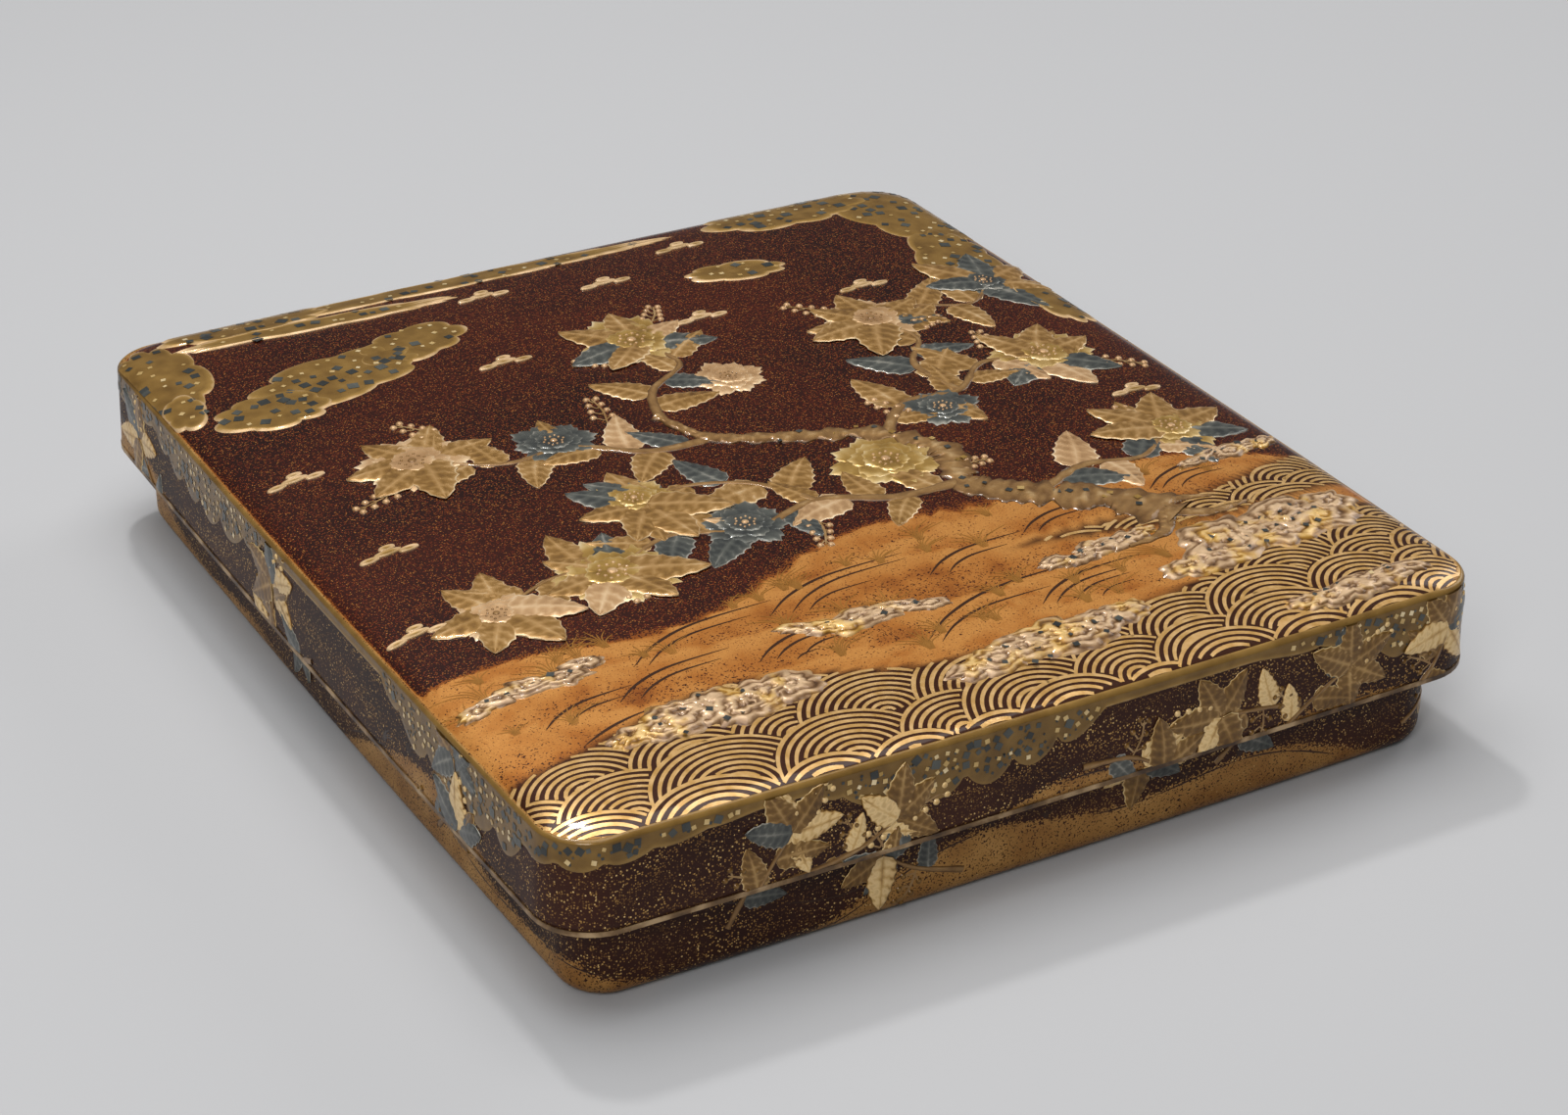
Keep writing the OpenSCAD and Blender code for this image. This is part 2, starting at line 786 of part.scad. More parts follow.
tray_wall_piece(-1, "back");  // left_tray_back_end
tray_floor_board(1);  // right_tray_floor
tray_wall_piece(1, "right");  // right_tray_outer_side
tray_wall_piece(1, "left");  // right_tray_inner_side
tray_wall_piece(1, "front");  // right_tray_front_end
tray_wall_piece(1, "back");  // right_tray_back_end
brush_rest(rest_front_y);  // brush_rest_front
brush_rest(rest_back_y);  // brush_rest_back
brush_handle(1);  // brush_1_handle
brush_hair(1);  // brush_1_hair
brush_cap(1);  // brush_1_cap
brush_handle(2);  // brush_2_handle
brush_hair(2);  // brush_2_hair
brush_cap(2);  // brush_2_cap
ink_stick();
holder_jaw(-1);  // holder_jaw_left
holder_jaw(1);  // holder_jaw_right
holder_band();
holder_ring();
knife_grip();
knife_blade();
knife_sheath();
awl_grip();
awl_point();
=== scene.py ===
# %% [markdown]
# # A lacquered writing box
#
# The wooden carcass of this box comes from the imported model: boards, trays,
# inkstone and tools at their real size. This script dresses it as the lacquer
# worker does. First comes a continuous skin of lacquer over the boards, then the
# ground sprinkled with gold, and last the raised gold pictures on lid and walls.

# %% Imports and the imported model
import bisect
import math
import random
import bmesh
import bpy
from mathutils import Matrix, Vector, noise
from mathutils.bvhtree import BVHTree


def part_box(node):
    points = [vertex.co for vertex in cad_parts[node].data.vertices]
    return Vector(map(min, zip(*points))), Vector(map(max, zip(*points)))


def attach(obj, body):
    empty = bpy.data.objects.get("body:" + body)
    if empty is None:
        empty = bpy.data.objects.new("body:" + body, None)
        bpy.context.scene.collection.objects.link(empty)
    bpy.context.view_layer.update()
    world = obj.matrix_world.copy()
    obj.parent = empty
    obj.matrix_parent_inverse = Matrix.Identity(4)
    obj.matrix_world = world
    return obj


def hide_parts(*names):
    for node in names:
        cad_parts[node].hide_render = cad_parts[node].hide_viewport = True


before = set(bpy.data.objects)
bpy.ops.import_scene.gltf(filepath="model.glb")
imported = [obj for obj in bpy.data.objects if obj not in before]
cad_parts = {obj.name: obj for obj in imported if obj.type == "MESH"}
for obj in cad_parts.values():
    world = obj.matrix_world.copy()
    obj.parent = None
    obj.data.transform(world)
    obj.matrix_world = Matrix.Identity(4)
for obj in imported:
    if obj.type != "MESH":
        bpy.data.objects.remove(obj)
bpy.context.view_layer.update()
MM = 0.001
print("boards and pieces:", len(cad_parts))

# %% [markdown]
# ## Small helpers
#
# Colours are written as sRGB hex values, the way a paint card gives them, and
# turned to linear light once. One function adds a shader node, sets its values,
# fills its colour ramp and links its inputs. It gives back an output, ready to
# be the input of the next node, so a material reads as a short list of steps.

# %% Colours and shader nodes
def linear(hex_colour):
    """sRGB hex to a linear RGBA tuple."""
    rgb = [int(hex_colour[i:i + 2], 16) / 255 for i in (1, 3, 5)]
    return tuple(c / 12.92 if c <= 0.04045 else ((c + 0.055) / 1.055) ** 2.4 for c in rgb) + (1.0,)


def add(material, kind, inputs, out=0, stops=(), **settings):
    """Adds a node with its settings, its set or linked inputs and its ramp stops."""
    node = material.node_tree.nodes.new(kind)
    for name, value in settings.items():
        setattr(node, name, value)
    for name, value in inputs.items():
        if isinstance(value, bpy.types.NodeSocket):
            material.node_tree.links.new(value, node.inputs[name])
        else:
            node.inputs[name].default_value = value
    if stops:
        elements = node.color_ramp.elements
        while len(elements) < len(stops):
            elements.new(0.5)
        for element, (position, hex_colour) in zip(elements, stops):
            element.position = position
            element.color = linear(hex_colour)
    return node.outputs[out] if node.outputs else None


def new_material(name):
    """A new material with an empty node tree."""
    material = bpy.data.materials.new(name)
    material.use_nodes = True
    material.node_tree.nodes.clear()
    return material


# A Mix node that mixes colours has its share and its two colours at inputs
# 0, 6 and 7, and the mixed colour at output 2.
SHARE, UNDER, OVER, MIXED = 0, 6, 7, 2


def held(value, low=0.0, high=1.0):
    """The value, kept between two limits."""
    return max(low, min(high, value))


# %% [markdown]
# ## Sizes read from the boards
#
# The skin has to sit exactly on the boards, so its sizes are read from the packed
# model. The lid's plan is a rounded rectangle whose sides swell out a little.

# %% Sizes of lid and box
rim_low, rim_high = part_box("lid_mouth_rim")
top_low, top_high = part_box("lid_top_board")
box_rim_low, box_rim_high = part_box("box_mouth_rim")

SWELL = 1.1 * MM
RIM_PROUD = 0.15 * MM
LID_WIDTH = rim_high.x - rim_low.x - 2 * (RIM_PROUD + SWELL)
LID_LENGTH = rim_high.y - rim_low.y - 2 * (RIM_PROUD + SWELL)
LID_CORNER = 12 * MM
LID_WALL = 5 * MM
LEAN = 0.8 * MM
MOUTH_Z = rim_low.z
LIP_Z = rim_high.z
EDGE_Z = MOUTH_Z + 19.5 * MM
CEILING_Z = top_low.z
CEILING_DISH = 2.4 * MM
CROWN = top_high.z - EDGE_Z
BOX_WIDTH = box_rim_high.x - box_rim_low.x - 2 * SWELL
BOX_LENGTH = box_rim_high.y - box_rim_low.y - 2 * SWELL
BOX_CORNER = 9.5 * MM
BOX_WALL = 4.6 * MM
BOX_RIM_Z = box_rim_low.z
FOOT = 4.6 * MM
FLOOR_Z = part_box("box_floor")[1].z

# The picture is laid out in millimetres, so half of the lid's plan is kept so too.
HALF_WIDTH, HALF_LENGTH = LID_WIDTH / 2 / MM, LID_LENGTH / 2 / MM
print("lid %.1f x %.1f mm, crown %.1f mm" % (LID_WIDTH / MM, LID_LENGTH / MM, CROWN / MM))

# %% Outline of the plan
CORNER_STEPS = 16
SIDE_STEPS = 124


def outline(width, length, radius):
    """Points round the plan, anticlockwise, starting in the middle of the front side."""
    def on_corner(corner, degrees):
        x = (width / 2 - radius) * (1 if corner in (0, 1) else -1)
        y = (length / 2 - radius) * (1 if corner in (1, 2) else -1)
        a = math.radians(degrees)
        return x + radius * math.cos(a), y + radius * math.sin(a)

    points = []
    for corner in range(4):
        start = -90 + 90 * corner
        points += [on_corner(corner, start + 90 * k / CORNER_STEPS) for k in range(CORNER_STEPS + 1)]
        here, there = points[-1], on_corner((corner + 1) % 4, start + 90)
        for k in range(1, SIDE_STEPS):
            t = k / SIDE_STEPS
            points.append((here[0] + (there[0] - here[0]) * t, here[1] + (there[1] - here[1]) * t))
    swelled = []
    for x, y in points:
        u, v = 2 * x / width, 2 * y / length
        swelled.append((x + SWELL * u * (1 - v * v), y + SWELL * v * (1 - u * u)))
    half = SIDE_STEPS // 2
    return swelled[-half:] + swelled[:-half]


def ring_at(width, length, radius, inset, z):
    """The outline moved in by inset, at height z, as points in space."""
    radius = max(radius, 0.2 * MM)
    return [Vector((x, y, z)) for x, y in outline(width - 2 * inset, length - 2 * inset, radius)]


# %% [markdown]
# ## Skinning a shell ring by ring
#
# A lathe can't turn a form that isn't round, but the idea carries over: one
# closed ring of points is extruded again and again, and each new ring is moved to
# the next level of the profile. The last rings shrink to a point, which is merged
# to close the pole. Every ring keeps its finish, so wall, edge and crown can have
# materials of their own.

# %% Extruding a ring along a profile
def skin_rings(rings, slots):
    """A closed shell through rings, where slots[i] is the finish between ring i and the next."""
    bm = bmesh.new()
    verts = bmesh.ops.create_circle(bm, segments=len(rings[0]), radius=1.0)["verts"]
    edges = list(bm.edges)
    order = {v: i for i, v in enumerate(verts)}
    for v, point in zip(verts, rings[0]):
        v.co = point
    first = list(verts)
    for ring, slot in zip(rings[1:], slots):
        out = bmesh.ops.extrude_edge_only(bm, edges=edges)["geom"]
        fresh = {}
        for v in (g for g in out if isinstance(g, bmesh.types.BMVert)):
            source = next(e.other_vert(v) for e in v.link_edges if e.other_vert(v) in order)
            fresh[v] = order[source]
        for face in (g for g in out if isinstance(g, bmesh.types.BMFace)):
            face.material_index = slot
        for v, i in fresh.items():
            v.co = ring[i]
        edges = [g for g in out if isinstance(g, bmesh.types.BMEdge)
                 and all(v in fresh for v in g.verts)]
        order = fresh
    for pole in (first, list(order)):
        centre = sum((v.co for v in pole), Vector()) / len(pole)
        bmesh.ops.pointmerge(bm, verts=pole, merge_co=centre)
    bmesh.ops.recalc_face_normals(bm, faces=list(bm.faces))
    return bm


def put_in_scene(name, data):
    """A new object for a mesh, a camera or a lamp."""
    item = bpy.data.objects.new(name, data)
    bpy.context.scene.collection.objects.link(item)
    return item


def make_piece(name, bm, body, materials):
    """Turns a bmesh into an object that rides on a body."""
    mesh = bpy.data.meshes.new(name)
    bm.to_mesh(mesh)
    bm.free()
    piece = put_in_scene(name, mesh)
    for material in materials:
        mesh.materials.append(material)
    for face in mesh.polygons:
        face.use_smooth = True
    print(name, "faces:", len(mesh.polygons))
    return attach(piece, body)


# %% [markdown]
# ## The lid's profile
#
# The crown rises in two parts: a short steep shoulder right behind the thin edge
# line, and then a long gentle dome. Contours grow rounder towards the middle, so
# the reflections run softly over the corners.

# %% Profile of the lid, from the ceiling's middle round to the crown's middle
SHOULDER_SHARE = 0.3
SHOULDER_REACH = 2.5 * MM
EDGE_ROUND = 0.35 * MM
LEVEL_STEP = 0.9 * MM
POLE = 0.3 * MM
INSIDE, WALL, TOP = 0, 1, 2


def crown_at(d):
    """Rise of the crown at distance d in from the edge."""
    shoulder = 1 - math.exp(-d / SHOULDER_REACH)
    dome = 1 - max(0.0, 1 - d / (LID_WIDTH / 2)) ** 4
    return CROWN * (SHOULDER_SHARE * shoulder + (1 - SHOULDER_SHARE) * dome)


def lean_at(z):
    """How far the lid's wall has leant in at height z."""
    return LEAN * (z - MOUTH_Z) / (EDGE_Z - MOUTH_Z)


lid_rings = []
lid_slots = []


def lid_ring(inset, z, slot, radius=None):
    """Adds the ring at an inset and a height, and the finish that leads to it."""
    radius = LID_CORNER - min(inset, LID_CORNER - 0.5 * MM) if radius is None else radius
    lid_rings.append(ring_at(LID_WIDTH, LID_LENGTH, radius, inset, z))
    lid_slots.append(slot)


# The ceiling: a flat middle, a dish that falls to the sides, and a soft corner.
half_width = LID_WIDTH / 2
lid_ring(half_width - POLE, CEILING_Z + CEILING_DISH, INSIDE, 0.2 * MM)
for inset in (80 * MM, 60 * MM, 45 * MM, 32 * MM + LID_WALL):
    lid_ring(inset, CEILING_Z + CEILING_DISH, INSIDE, 1.5 * MM)
lid_ring(14 * MM + LID_WALL, CEILING_Z, INSIDE, 2 * MM)
lid_ring(LID_WALL + 0.6 * MM, CEILING_Z, INSIDE)
lid_ring(LID_WALL + 0.1 * MM, CEILING_Z - 0.1 * MM, INSIDE)

# The wall: down inside, across the lip on the gold rim, and up outside.
lid_ring(LID_WALL, CEILING_Z - 0.6 * MM, INSIDE)
lid_ring(LID_WALL, LIP_Z + 0.3 * MM, INSIDE)
lid_ring(LID_WALL, LIP_Z, INSIDE)
lid_ring(0.2 * MM, LIP_Z, INSIDE)
level = LIP_Z + 0.05 * MM
lid_ring(lean_at(level), level, WALL)
while level < EDGE_Z - LEVEL_STEP:
    level += LEVEL_STEP
    lid_ring(lean_at(level), level, WALL)

# The edge and the crown, with close rings on the shoulder and wide ones on the dome.
lid_ring(LEAN, EDGE_Z - EDGE_ROUND, WALL)
lid_ring(LEAN + 0.3 * EDGE_ROUND, EDGE_Z - 0.3 * EDGE_ROUND, WALL)
lid_ring(LEAN + EDGE_ROUND, EDGE_Z + crown_at(EDGE_ROUND), WALL)
d = EDGE_ROUND
while d < half_width - LEAN - 0.8 * MM:
    slot = WALL if d == EDGE_ROUND else TOP
    d += 0.5 * MM if d < 6 * MM else 1.5 * MM
    rounding = LID_CORNER + 0.35 * d
    shrink = half_width - LEAN - d
    lid_ring(LEAN + d, EDGE_Z + crown_at(d), slot, min(rounding, 0.98 * max(shrink, 0.25 * MM)))
print("rings on the lid:", len(lid_rings))

# %% Profile of the box, from the underside's middle round to the floor's middle
OUTSIDE, LINING = 0, 1
RIM_GAP = 0.01 * MM
box_rings = []
box_slots = []


def box_ring(inset, z, slot, radius=None):
    """Adds the ring at an inset and a height, and the finish that leads to it."""
    radius = BOX_CORNER - min(inset, BOX_CORNER - 0.5 * MM) if radius is None else radius
    box_rings.append(ring_at(BOX_WIDTH, BOX_LENGTH, radius, inset, z))
    box_slots.append(slot)


# The flat underside, the rounded foot and the wall.
for inset in (BOX_WIDTH / 2 - POLE, 70 * MM, 40 * MM, 15 * MM, FOOT + 0.5 * MM):
    box_ring(inset, 0, OUTSIDE, max(0.2 * MM, min(5 * MM, BOX_CORNER - FOOT)))
for k in range(9):
    a = math.radians(90 * k / 8)
    box_ring(FOOT * (1 - math.sin(a)), FOOT * (1 - math.cos(a)), OUTSIDE)
z = FOOT
while z < BOX_RIM_Z - LEVEL_STEP:
    z += LEVEL_STEP
    box_ring(0, z, OUTSIDE)
box_ring(0, BOX_RIM_Z - RIM_GAP, OUTSIDE)

# Down inside, round the soft corner and over the floor.
box_ring(BOX_WALL, BOX_RIM_Z - RIM_GAP, LINING)
box_ring(BOX_WALL, FLOOR_Z + 1.5 * MM, LINING)
box_ring(BOX_WALL + 0.45 * MM, FLOOR_Z + 0.45 * MM, LINING)
box_ring(BOX_WALL + 1.5 * MM, FLOOR_Z, LINING)
for inset in (20 * MM, 45 * MM, 70 * MM, BOX_WIDTH / 2 - POLE):
    box_ring(inset, FLOOR_Z, LINING, 1.5 * MM if inset < 80 * MM else 0.2 * MM)
print("rings on the box:", len(box_rings))

# %% [markdown]
# ## Where the picture lies
#
# Lacquer pictures are laid out on the lid's plan. The shore is a set of low hills,
# each a wavy line with gold dust that is densest at its crest and thins out below.
# These functions say how much gold lies at a point. The skin stores the answer at
# each of its vertices, and the material turns it into single grains.

# %% Shore, water and hills
HILLS = [
    # middle level, swing, run of the wave, start of the wave
    (-58, 5, 36, 0.4), (-66, 6, 44, 2.2), (-75, 5, 30, 4.0), (-84, 5, 38, 5.3), (-95, 4, 33, 1.2),
]
# The hills on the box lie at this height, and this far on from those of the lid.
BOX_HILL_LEVEL = 10
BOX_HILL_SHIFT = 20


def shore_line(x):
    """The far edge of the land, in millimetres up the lid."""
    return -53 + 8 * math.sin((x + 20) / 34) + 3.5 * math.sin(x / 13 + 2)


def water_depth(x, y):
    """How far inside the water a point lies, in millimetres, and less than 0 on land."""
    sea = -93 - 7 * math.sin(x / 27 + 0.9) + 0.04 * x + 2 * math.sin(x / 11) - y
    bay_middle = -67 - 0.05 * (100 - x) + 2.5 * math.sin(x / 14)
    bay_half = 0.1 * (x - 12) - 0.8
    return max(sea, min(y - bay_middle + bay_half, bay_middle + bay_half - y))


def hill_line(x, hill):
    """The crest of a hill, in millimetres up the lid."""
    level, swing, run, start = hill
    return level + swing * math.sin(x / run + start) + 1.5 * math.sin(x / 9 + start)


def gold_on_lid(x, y):
    """How densely the shore is dusted with gold at a point of the plan, from 0 to 1."""
    soft_edge, reach = 1.2, 7.0
    land = shore_line(x) - y
    if land < 0:
        return 0.0
    nearest = min([land] + [hill_line(x, h) - y for h in HILLS if hill_line(x, h) > y])
    return min(1.0, land / soft_edge) * (0.7 + 0.3 * math.exp(-nearest / reach))


def side_crest(s):
    """Height of the hills on the walls, in millimetres, once round the box without a step."""
    a = math.pi * MM * s / (LID_WIDTH + LID_LENGTH)
    return 5.5 * math.sin(5 * a + 0.4) + 3.5 * math.sin(11 * a + 1.7) - 2.0


def hill_on_side(s, lift):
    """Gold dust on the walls: long low hills along the mouth of the lid and the foot of the box."""
    return held((side_crest(s) - lift) / 1.5)


# %% [markdown]
# ## Sprinkled lacquer
#
# Nashiji is a ground of red-brown lacquer with fine flakes of gold at many depths
# under amber lacquer, polished to a gloss. Each flake here is one Voronoi cell,
# from a third of a millimetre across on the lid to over half on the lining. That
# is coarser than real powder, so that the grains still show in the render. A cell
# is lit or left dark by its own random colour, and deep flakes are redder than
# those near the surface. The gloss is a coat over a rougher body, because the
# polish lies above the powder.

# %% Two patterns of real size, and the shader that all lacquers share
def grain(material, size_mm, share, spread=0.42):
    """Round grains: a mask, which is 1 on a lit grain, and a random value per grain."""
    where = add(material, "ShaderNodeTexCoord", {}, out="Object")
    colour = add(material, "ShaderNodeTexVoronoi", {
        "Vector": where, "Scale": 1 / (size_mm * MM)}, out="Color")
    chance = add(material, "ShaderNodeSeparateColor", {"Color": colour}, out="Red")
    lit = add(material, "ShaderNodeMath", {0: chance, 1: share}, operation="LESS_THAN")
    near = add(material, "ShaderNodeMath", {0: colour.node.outputs["Distance"], 1: spread},
               operation="LESS_THAN")
    mask = add(material, "ShaderNodeMath", {0: lit, 1: near}, operation="MULTIPLY")
    return mask, chance.node.outputs["Green"]


def cloudy(material, size_mm, detail=3.0):
    """Soft noise with features of a given size, from 0 to 1."""
    where = add(material, "ShaderNodeTexCoord", {}, out="Object")
    return add(material, "ShaderNodeTexNoise", {
        "Vector": where, "Scale": 1 / (size_mm * MM), "Detail": detail}, out="Fac")


def lacquer_body(material, colour, metal, rough, bump=None, coat=0.4):
    """A matt body under a clear polished coat."""
    values = {"Base Color": colour, "Metallic": metal, "Roughness": rough,
              "Coat Weight": coat, "Coat Roughness": 0.09, "Coat IOR": 1.5, "Specular IOR Level": 0.12}
    if bump is not None:
        values["Normal"] = add(material, "ShaderNodeBump", {
            "Height": bump, "Strength": 0.35, "Distance": 0.05 * MM})
    add(material, "ShaderNodeOutputMaterial", {
        "Surface": add(material, "ShaderNodeBsdfPrincipled", values)})


# %% Nashiji ground with a gold shore, for the top of the lid
def nashiji_with_shore():
    """Deep red-brown with a glitter of gold, and a shore that is solid orange gold."""
    material = new_material("nashiji_lacquer_gold_shore")
    tone = add(material, "ShaderNodeAttribute", {}, out="Fac", attribute_name="gold_dust")
    water = add(material, "ShaderNodeAttribute", {}, out="Fac", attribute_name="water")
    ground = add(material, "ShaderNodeValToRGB", {0: cloudy(material, 45)},
                 stops=[(0.35, "#1c0602"), (0.65, "#300d03")])
    flakes, depth = grain(material, 0.36, 0.62)
    flake_colour = add(material, "ShaderNodeValToRGB", {0: depth}, stops=[
        (0.0, "#4a1706"), (0.5, "#6a2a0e"), (0.85, "#824919"), (1.0, "#a06c34")])
    base = add(material, "ShaderNodeMix", {SHARE: flakes, UNDER: ground, OVER: flake_colour},
               out=MIXED, data_type="RGBA")

    # The shore's powder lies denser and paler on the crests of the hills.
    share = add(material, "ShaderNodeMapRange", {"Value": tone, "From Max": 0.85})
    powder, shade = grain(material, 0.3, share, 0.8)
    lie = add(material, "ShaderNodeMath", {0: tone, 1: 0.75}, operation="SUBTRACT")
    streak = add(material, "ShaderNodeMath", {0: lie, 1: 1.2, 2: cloudy(material, 9, 6)},
                 operation="MULTIPLY_ADD")
    shore_colour = add(material, "ShaderNodeValToRGB", {0: streak}, stops=[
        (0.3, "#7f4415"), (0.5, "#a8692b"), (0.75, "#be8341")])
    fine = add(material, "ShaderNodeMix", {SHARE: shade, UNDER: linear("#8e5220"), OVER: shore_colour},
               out=MIXED, data_type="RGBA")
    dusted = add(material, "ShaderNodeMix", {SHARE: 0.75, UNDER: fine, OVER: shore_colour},
                 out=MIXED, data_type="RGBA")
    base = add(material, "ShaderNodeMix", {SHARE: powder, UNDER: base, OVER: dusted},
               out=MIXED, data_type="RGBA")
    base = add(material, "ShaderNodeMix", {SHARE: water, UNDER: base, OVER: linear("#341604")},
               out=MIXED, data_type="RGBA")
    metal = add(material, "ShaderNodeMath", {0: powder, 1: 0.3}, operation="MULTIPLY")
    lacquer_body(material, base, metal, 0.38)
    return material


# %% Dark ground with coarse gold sprinkles, for the walls
def sprinkled_walls():
    """Nearly black brown, duller than the top, with clear yellow grains and soft gold hills."""
    material = new_material("dark_lacquer_fine_gold")
    tone = add(material, "ShaderNodeAttribute", {}, out="Fac", attribute_name="gold_dust")
    ground = add(material, "ShaderNodeValToRGB", {0: cloudy(material, 30)},
                 stops=[(0.35, "#260f08"), (0.65, "#381b10")])
    flakes, depth = grain(material, 0.42, 0.55)
    flake_colour = add(material, "ShaderNodeValToRGB", {0: depth}, stops=[
        (0.0, "#3c2412"), (0.5, "#6e4c26"), (0.85, "#a88046"), (1.0, "#dcb878")])
    base = add(material, "ShaderNodeMix", {SHARE: flakes, UNDER: ground, OVER: flake_colour},
               out=MIXED, data_type="RGBA")
    powder, _ = grain(material, 0.36, tone, 0.7)
    hill = add(material, "ShaderNodeValToRGB", {0: cloudy(material, 12, 6)}, stops=[
        (0.3, "#85592b"), (0.55, "#a67a42"), (0.75, "#bd9156")])
    base = add(material, "ShaderNodeMix", {SHARE: powder, UNDER: base, OVER: hill},
               out=MIXED, data_type="RGBA")
    metal = add(material, "ShaderNodeMath", {0: powder, 1: 0.35}, operation="MULTIPLY")
    lacquer_body(material, base, metal, 0.5, coat=0.1)
    return material


# %% Plain nashiji, for the lining and the trays
def plain_nashiji(name, ground_stops, flake_stops, share, metal=0.0, rough=0.36, gilded_above=None):
    """Warm red-brown with scattered amber grains, and gold where it lies above a height."""
    material = new_material(name)
    ground = add(material, "ShaderNodeValToRGB", {0: cloudy(material, 40)}, stops=ground_stops)
    flakes, depth = grain(material, 0.6, share)
    flake_colour = add(material, "ShaderNodeValToRGB", {0: depth}, stops=flake_stops)
    base = add(material, "ShaderNodeMix", {SHARE: flakes, UNDER: ground, OVER: flake_colour},
               out=MIXED, data_type="RGBA")
    if gilded_above is not None:
        where = add(material, "ShaderNodeTexCoord", {}, out="Object")
        height = add(material, "ShaderNodeSeparateXYZ", {0: where}, out="Z")
        rim = add(material, "ShaderNodeMapRange", {
            "Value": height, "From Min": gilded_above - 0.6 * MM, "From Max": gilded_above - 0.35 * MM})
        gold = add(material, "ShaderNodeValToRGB", {0: cloudy(material, 5, 4)},
                   stops=[(0.35, "#8c682f"), (0.65, "#c29a56")])
        base = add(material, "ShaderNodeMix", {SHARE: rim, UNDER: base, OVER: gold},
                   out=MIXED, data_type="RGBA")
    lacquer_body(material, base, metal, rough)
    return material


AMBER_FLAKES = [(0.0, "#6a3416"), (0.6, "#a2602c"), (0.9, "#cf9550"), (1.0, "#f0c884")]
lid_top_finish = nashiji_with_shore()
lid_wall_finish = sprinkled_walls()
lining_finish = plain_nashiji("nashiji_lining", [(0.35, "#3a160b"), (0.65, "#4d2212")], AMBER_FLAKES, 0.6)
tray_finish = plain_nashiji("nashiji_trays", [(0.35, "#32130a"), (0.65, "#441c0f")], AMBER_FLAKES, 0.45)
print("lacquers:", len(bpy.data.materials))

# %% [markdown]
# ## Skins over the boards
#
# The two shells replace the boards in the picture, because a real lacquer skin
# runs over the mitres without a seam. The boards stay in the model for contact,
# hidden.

# %% Lid and box skins with their gold dust
def dust(piece, gold_at, water_at):
    """Stores how much gold and water lies at each vertex."""
    gold = piece.data.attributes.new("gold_dust", "FLOAT", "POINT")
    wet = piece.data.attributes.new("water", "FLOAT", "POINT")
    for i, v in enumerate(piece.data.vertices):
        gold.data[i].value = gold_at(v.co)
        wet.data[i].value = water_at(v.co)


def along_side(co):
    """Distance round the wall from the middle of the front, in millimetres."""
    x, y = co.x / MM, co.y / MM
    if abs(x) / HALF_WIDTH < abs(y) / HALF_LENGTH:
        return x if y < 0 else 2 * (HALF_WIDTH + HALF_LENGTH) - x
    way = HALF_WIDTH + (HALF_LENGTH + y)
    return way if x > 0 else -way


def lid_gold(co):
    """Gold all over the arris, and otherwise what the shore and the hills say."""
    if EDGE_Z - 1.5 * MM < co.z < EDGE_Z + crown_at(0.9 * MM):
        return 1.0
    if co.z > EDGE_Z:
        return gold_on_lid(co.x / MM, co.y / MM)
    return hill_on_side(along_side(co), (co.z - LIP_Z) / MM)


def lid_water(co):
    """Whether a vertex lies under the drawn water, softly from 0 to 1, on the crown only."""
    return held(water_depth(co.x / MM, co.y / MM) + 0.3) if co.z >= EDGE_Z else 0.0


def box_gold(co):
    """The hills on the foot of the box."""
    return hill_on_side(along_side(co) + BOX_HILL_SHIFT, (co.z - BOX_HILL_LEVEL * MM) / MM)


lid_skin = make_piece("lid_lacquer", skin_rings(lid_rings, lid_slots[1:]), "lid",
                      [lining_finish, lid_wall_finish, lid_top_finish])
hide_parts("lid_top_board", "lid_wall_front", "lid_wall_back", "lid_wall_left", "lid_wall_right")
dust(lid_skin, lid_gold, lid_water)

box_skin = make_piece("box_lacquer", skin_rings(box_rings, box_slots[1:]), "box",
                      [lid_wall_finish, lining_finish])
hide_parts("box_floor", "box_wall_front", "box_wall_back", "box_wall_left", "box_wall_right")
dust(box_skin, box_gold, lambda co: 0.0)

# %% [markdown]
# ## Camera, floor and light
#
# The camera stands where the photograph was taken from: a little above the box,
# off its lower left corner, with a long lens. The floor is plain and pale.

# %% Camera
CAMERA_AZIMUTH = math.radians(-29.6)
CAMERA_ELEVATION = math.radians(28.45)
CAMERA_DISTANCE = 751 * MM
CAMERA_TARGET = Vector((2.5, -20.9, 24.6)) * MM
CAMERA_ROLL = math.radians(0.22)

eye = CAMERA_TARGET + CAMERA_DISTANCE * Vector((
    math.sin(CAMERA_AZIMUTH) * math.cos(CAMERA_ELEVATION),
    -math.cos(CAMERA_AZIMUTH) * math.cos(CAMERA_ELEVATION),
    math.sin(CAMERA_ELEVATION)))
camera_data = bpy.data.cameras.new("camera")
camera_data.lens = 80.7
camera_data.sensor_width = 36
camera_data.shift_x = -0.0173
camera_data.clip_start = 0.01
camera = put_in_scene("camera", camera_data)
facing = (CAMERA_TARGET - eye).to_track_quat("-Z", "Y").to_matrix().to_4x4()
camera.matrix_world = Matrix.Translation(eye) @ facing @ Matrix.Rotation(CAMERA_ROLL, 4, "Z")
bpy.context.scene.camera = camera
print("camera height: %.0f mm" % (eye.z / MM))

# %% Floor
floor_bm = bmesh.new()
bmesh.ops.create_grid(floor_bm, x_segments=1, y_segments=1, size=4.0)
floor_mesh = bpy.data.meshes.new("floor")
floor_bm.to_mesh(floor_mesh)
floor_bm.free()
floor = put_in_scene("floor", floor_mesh)

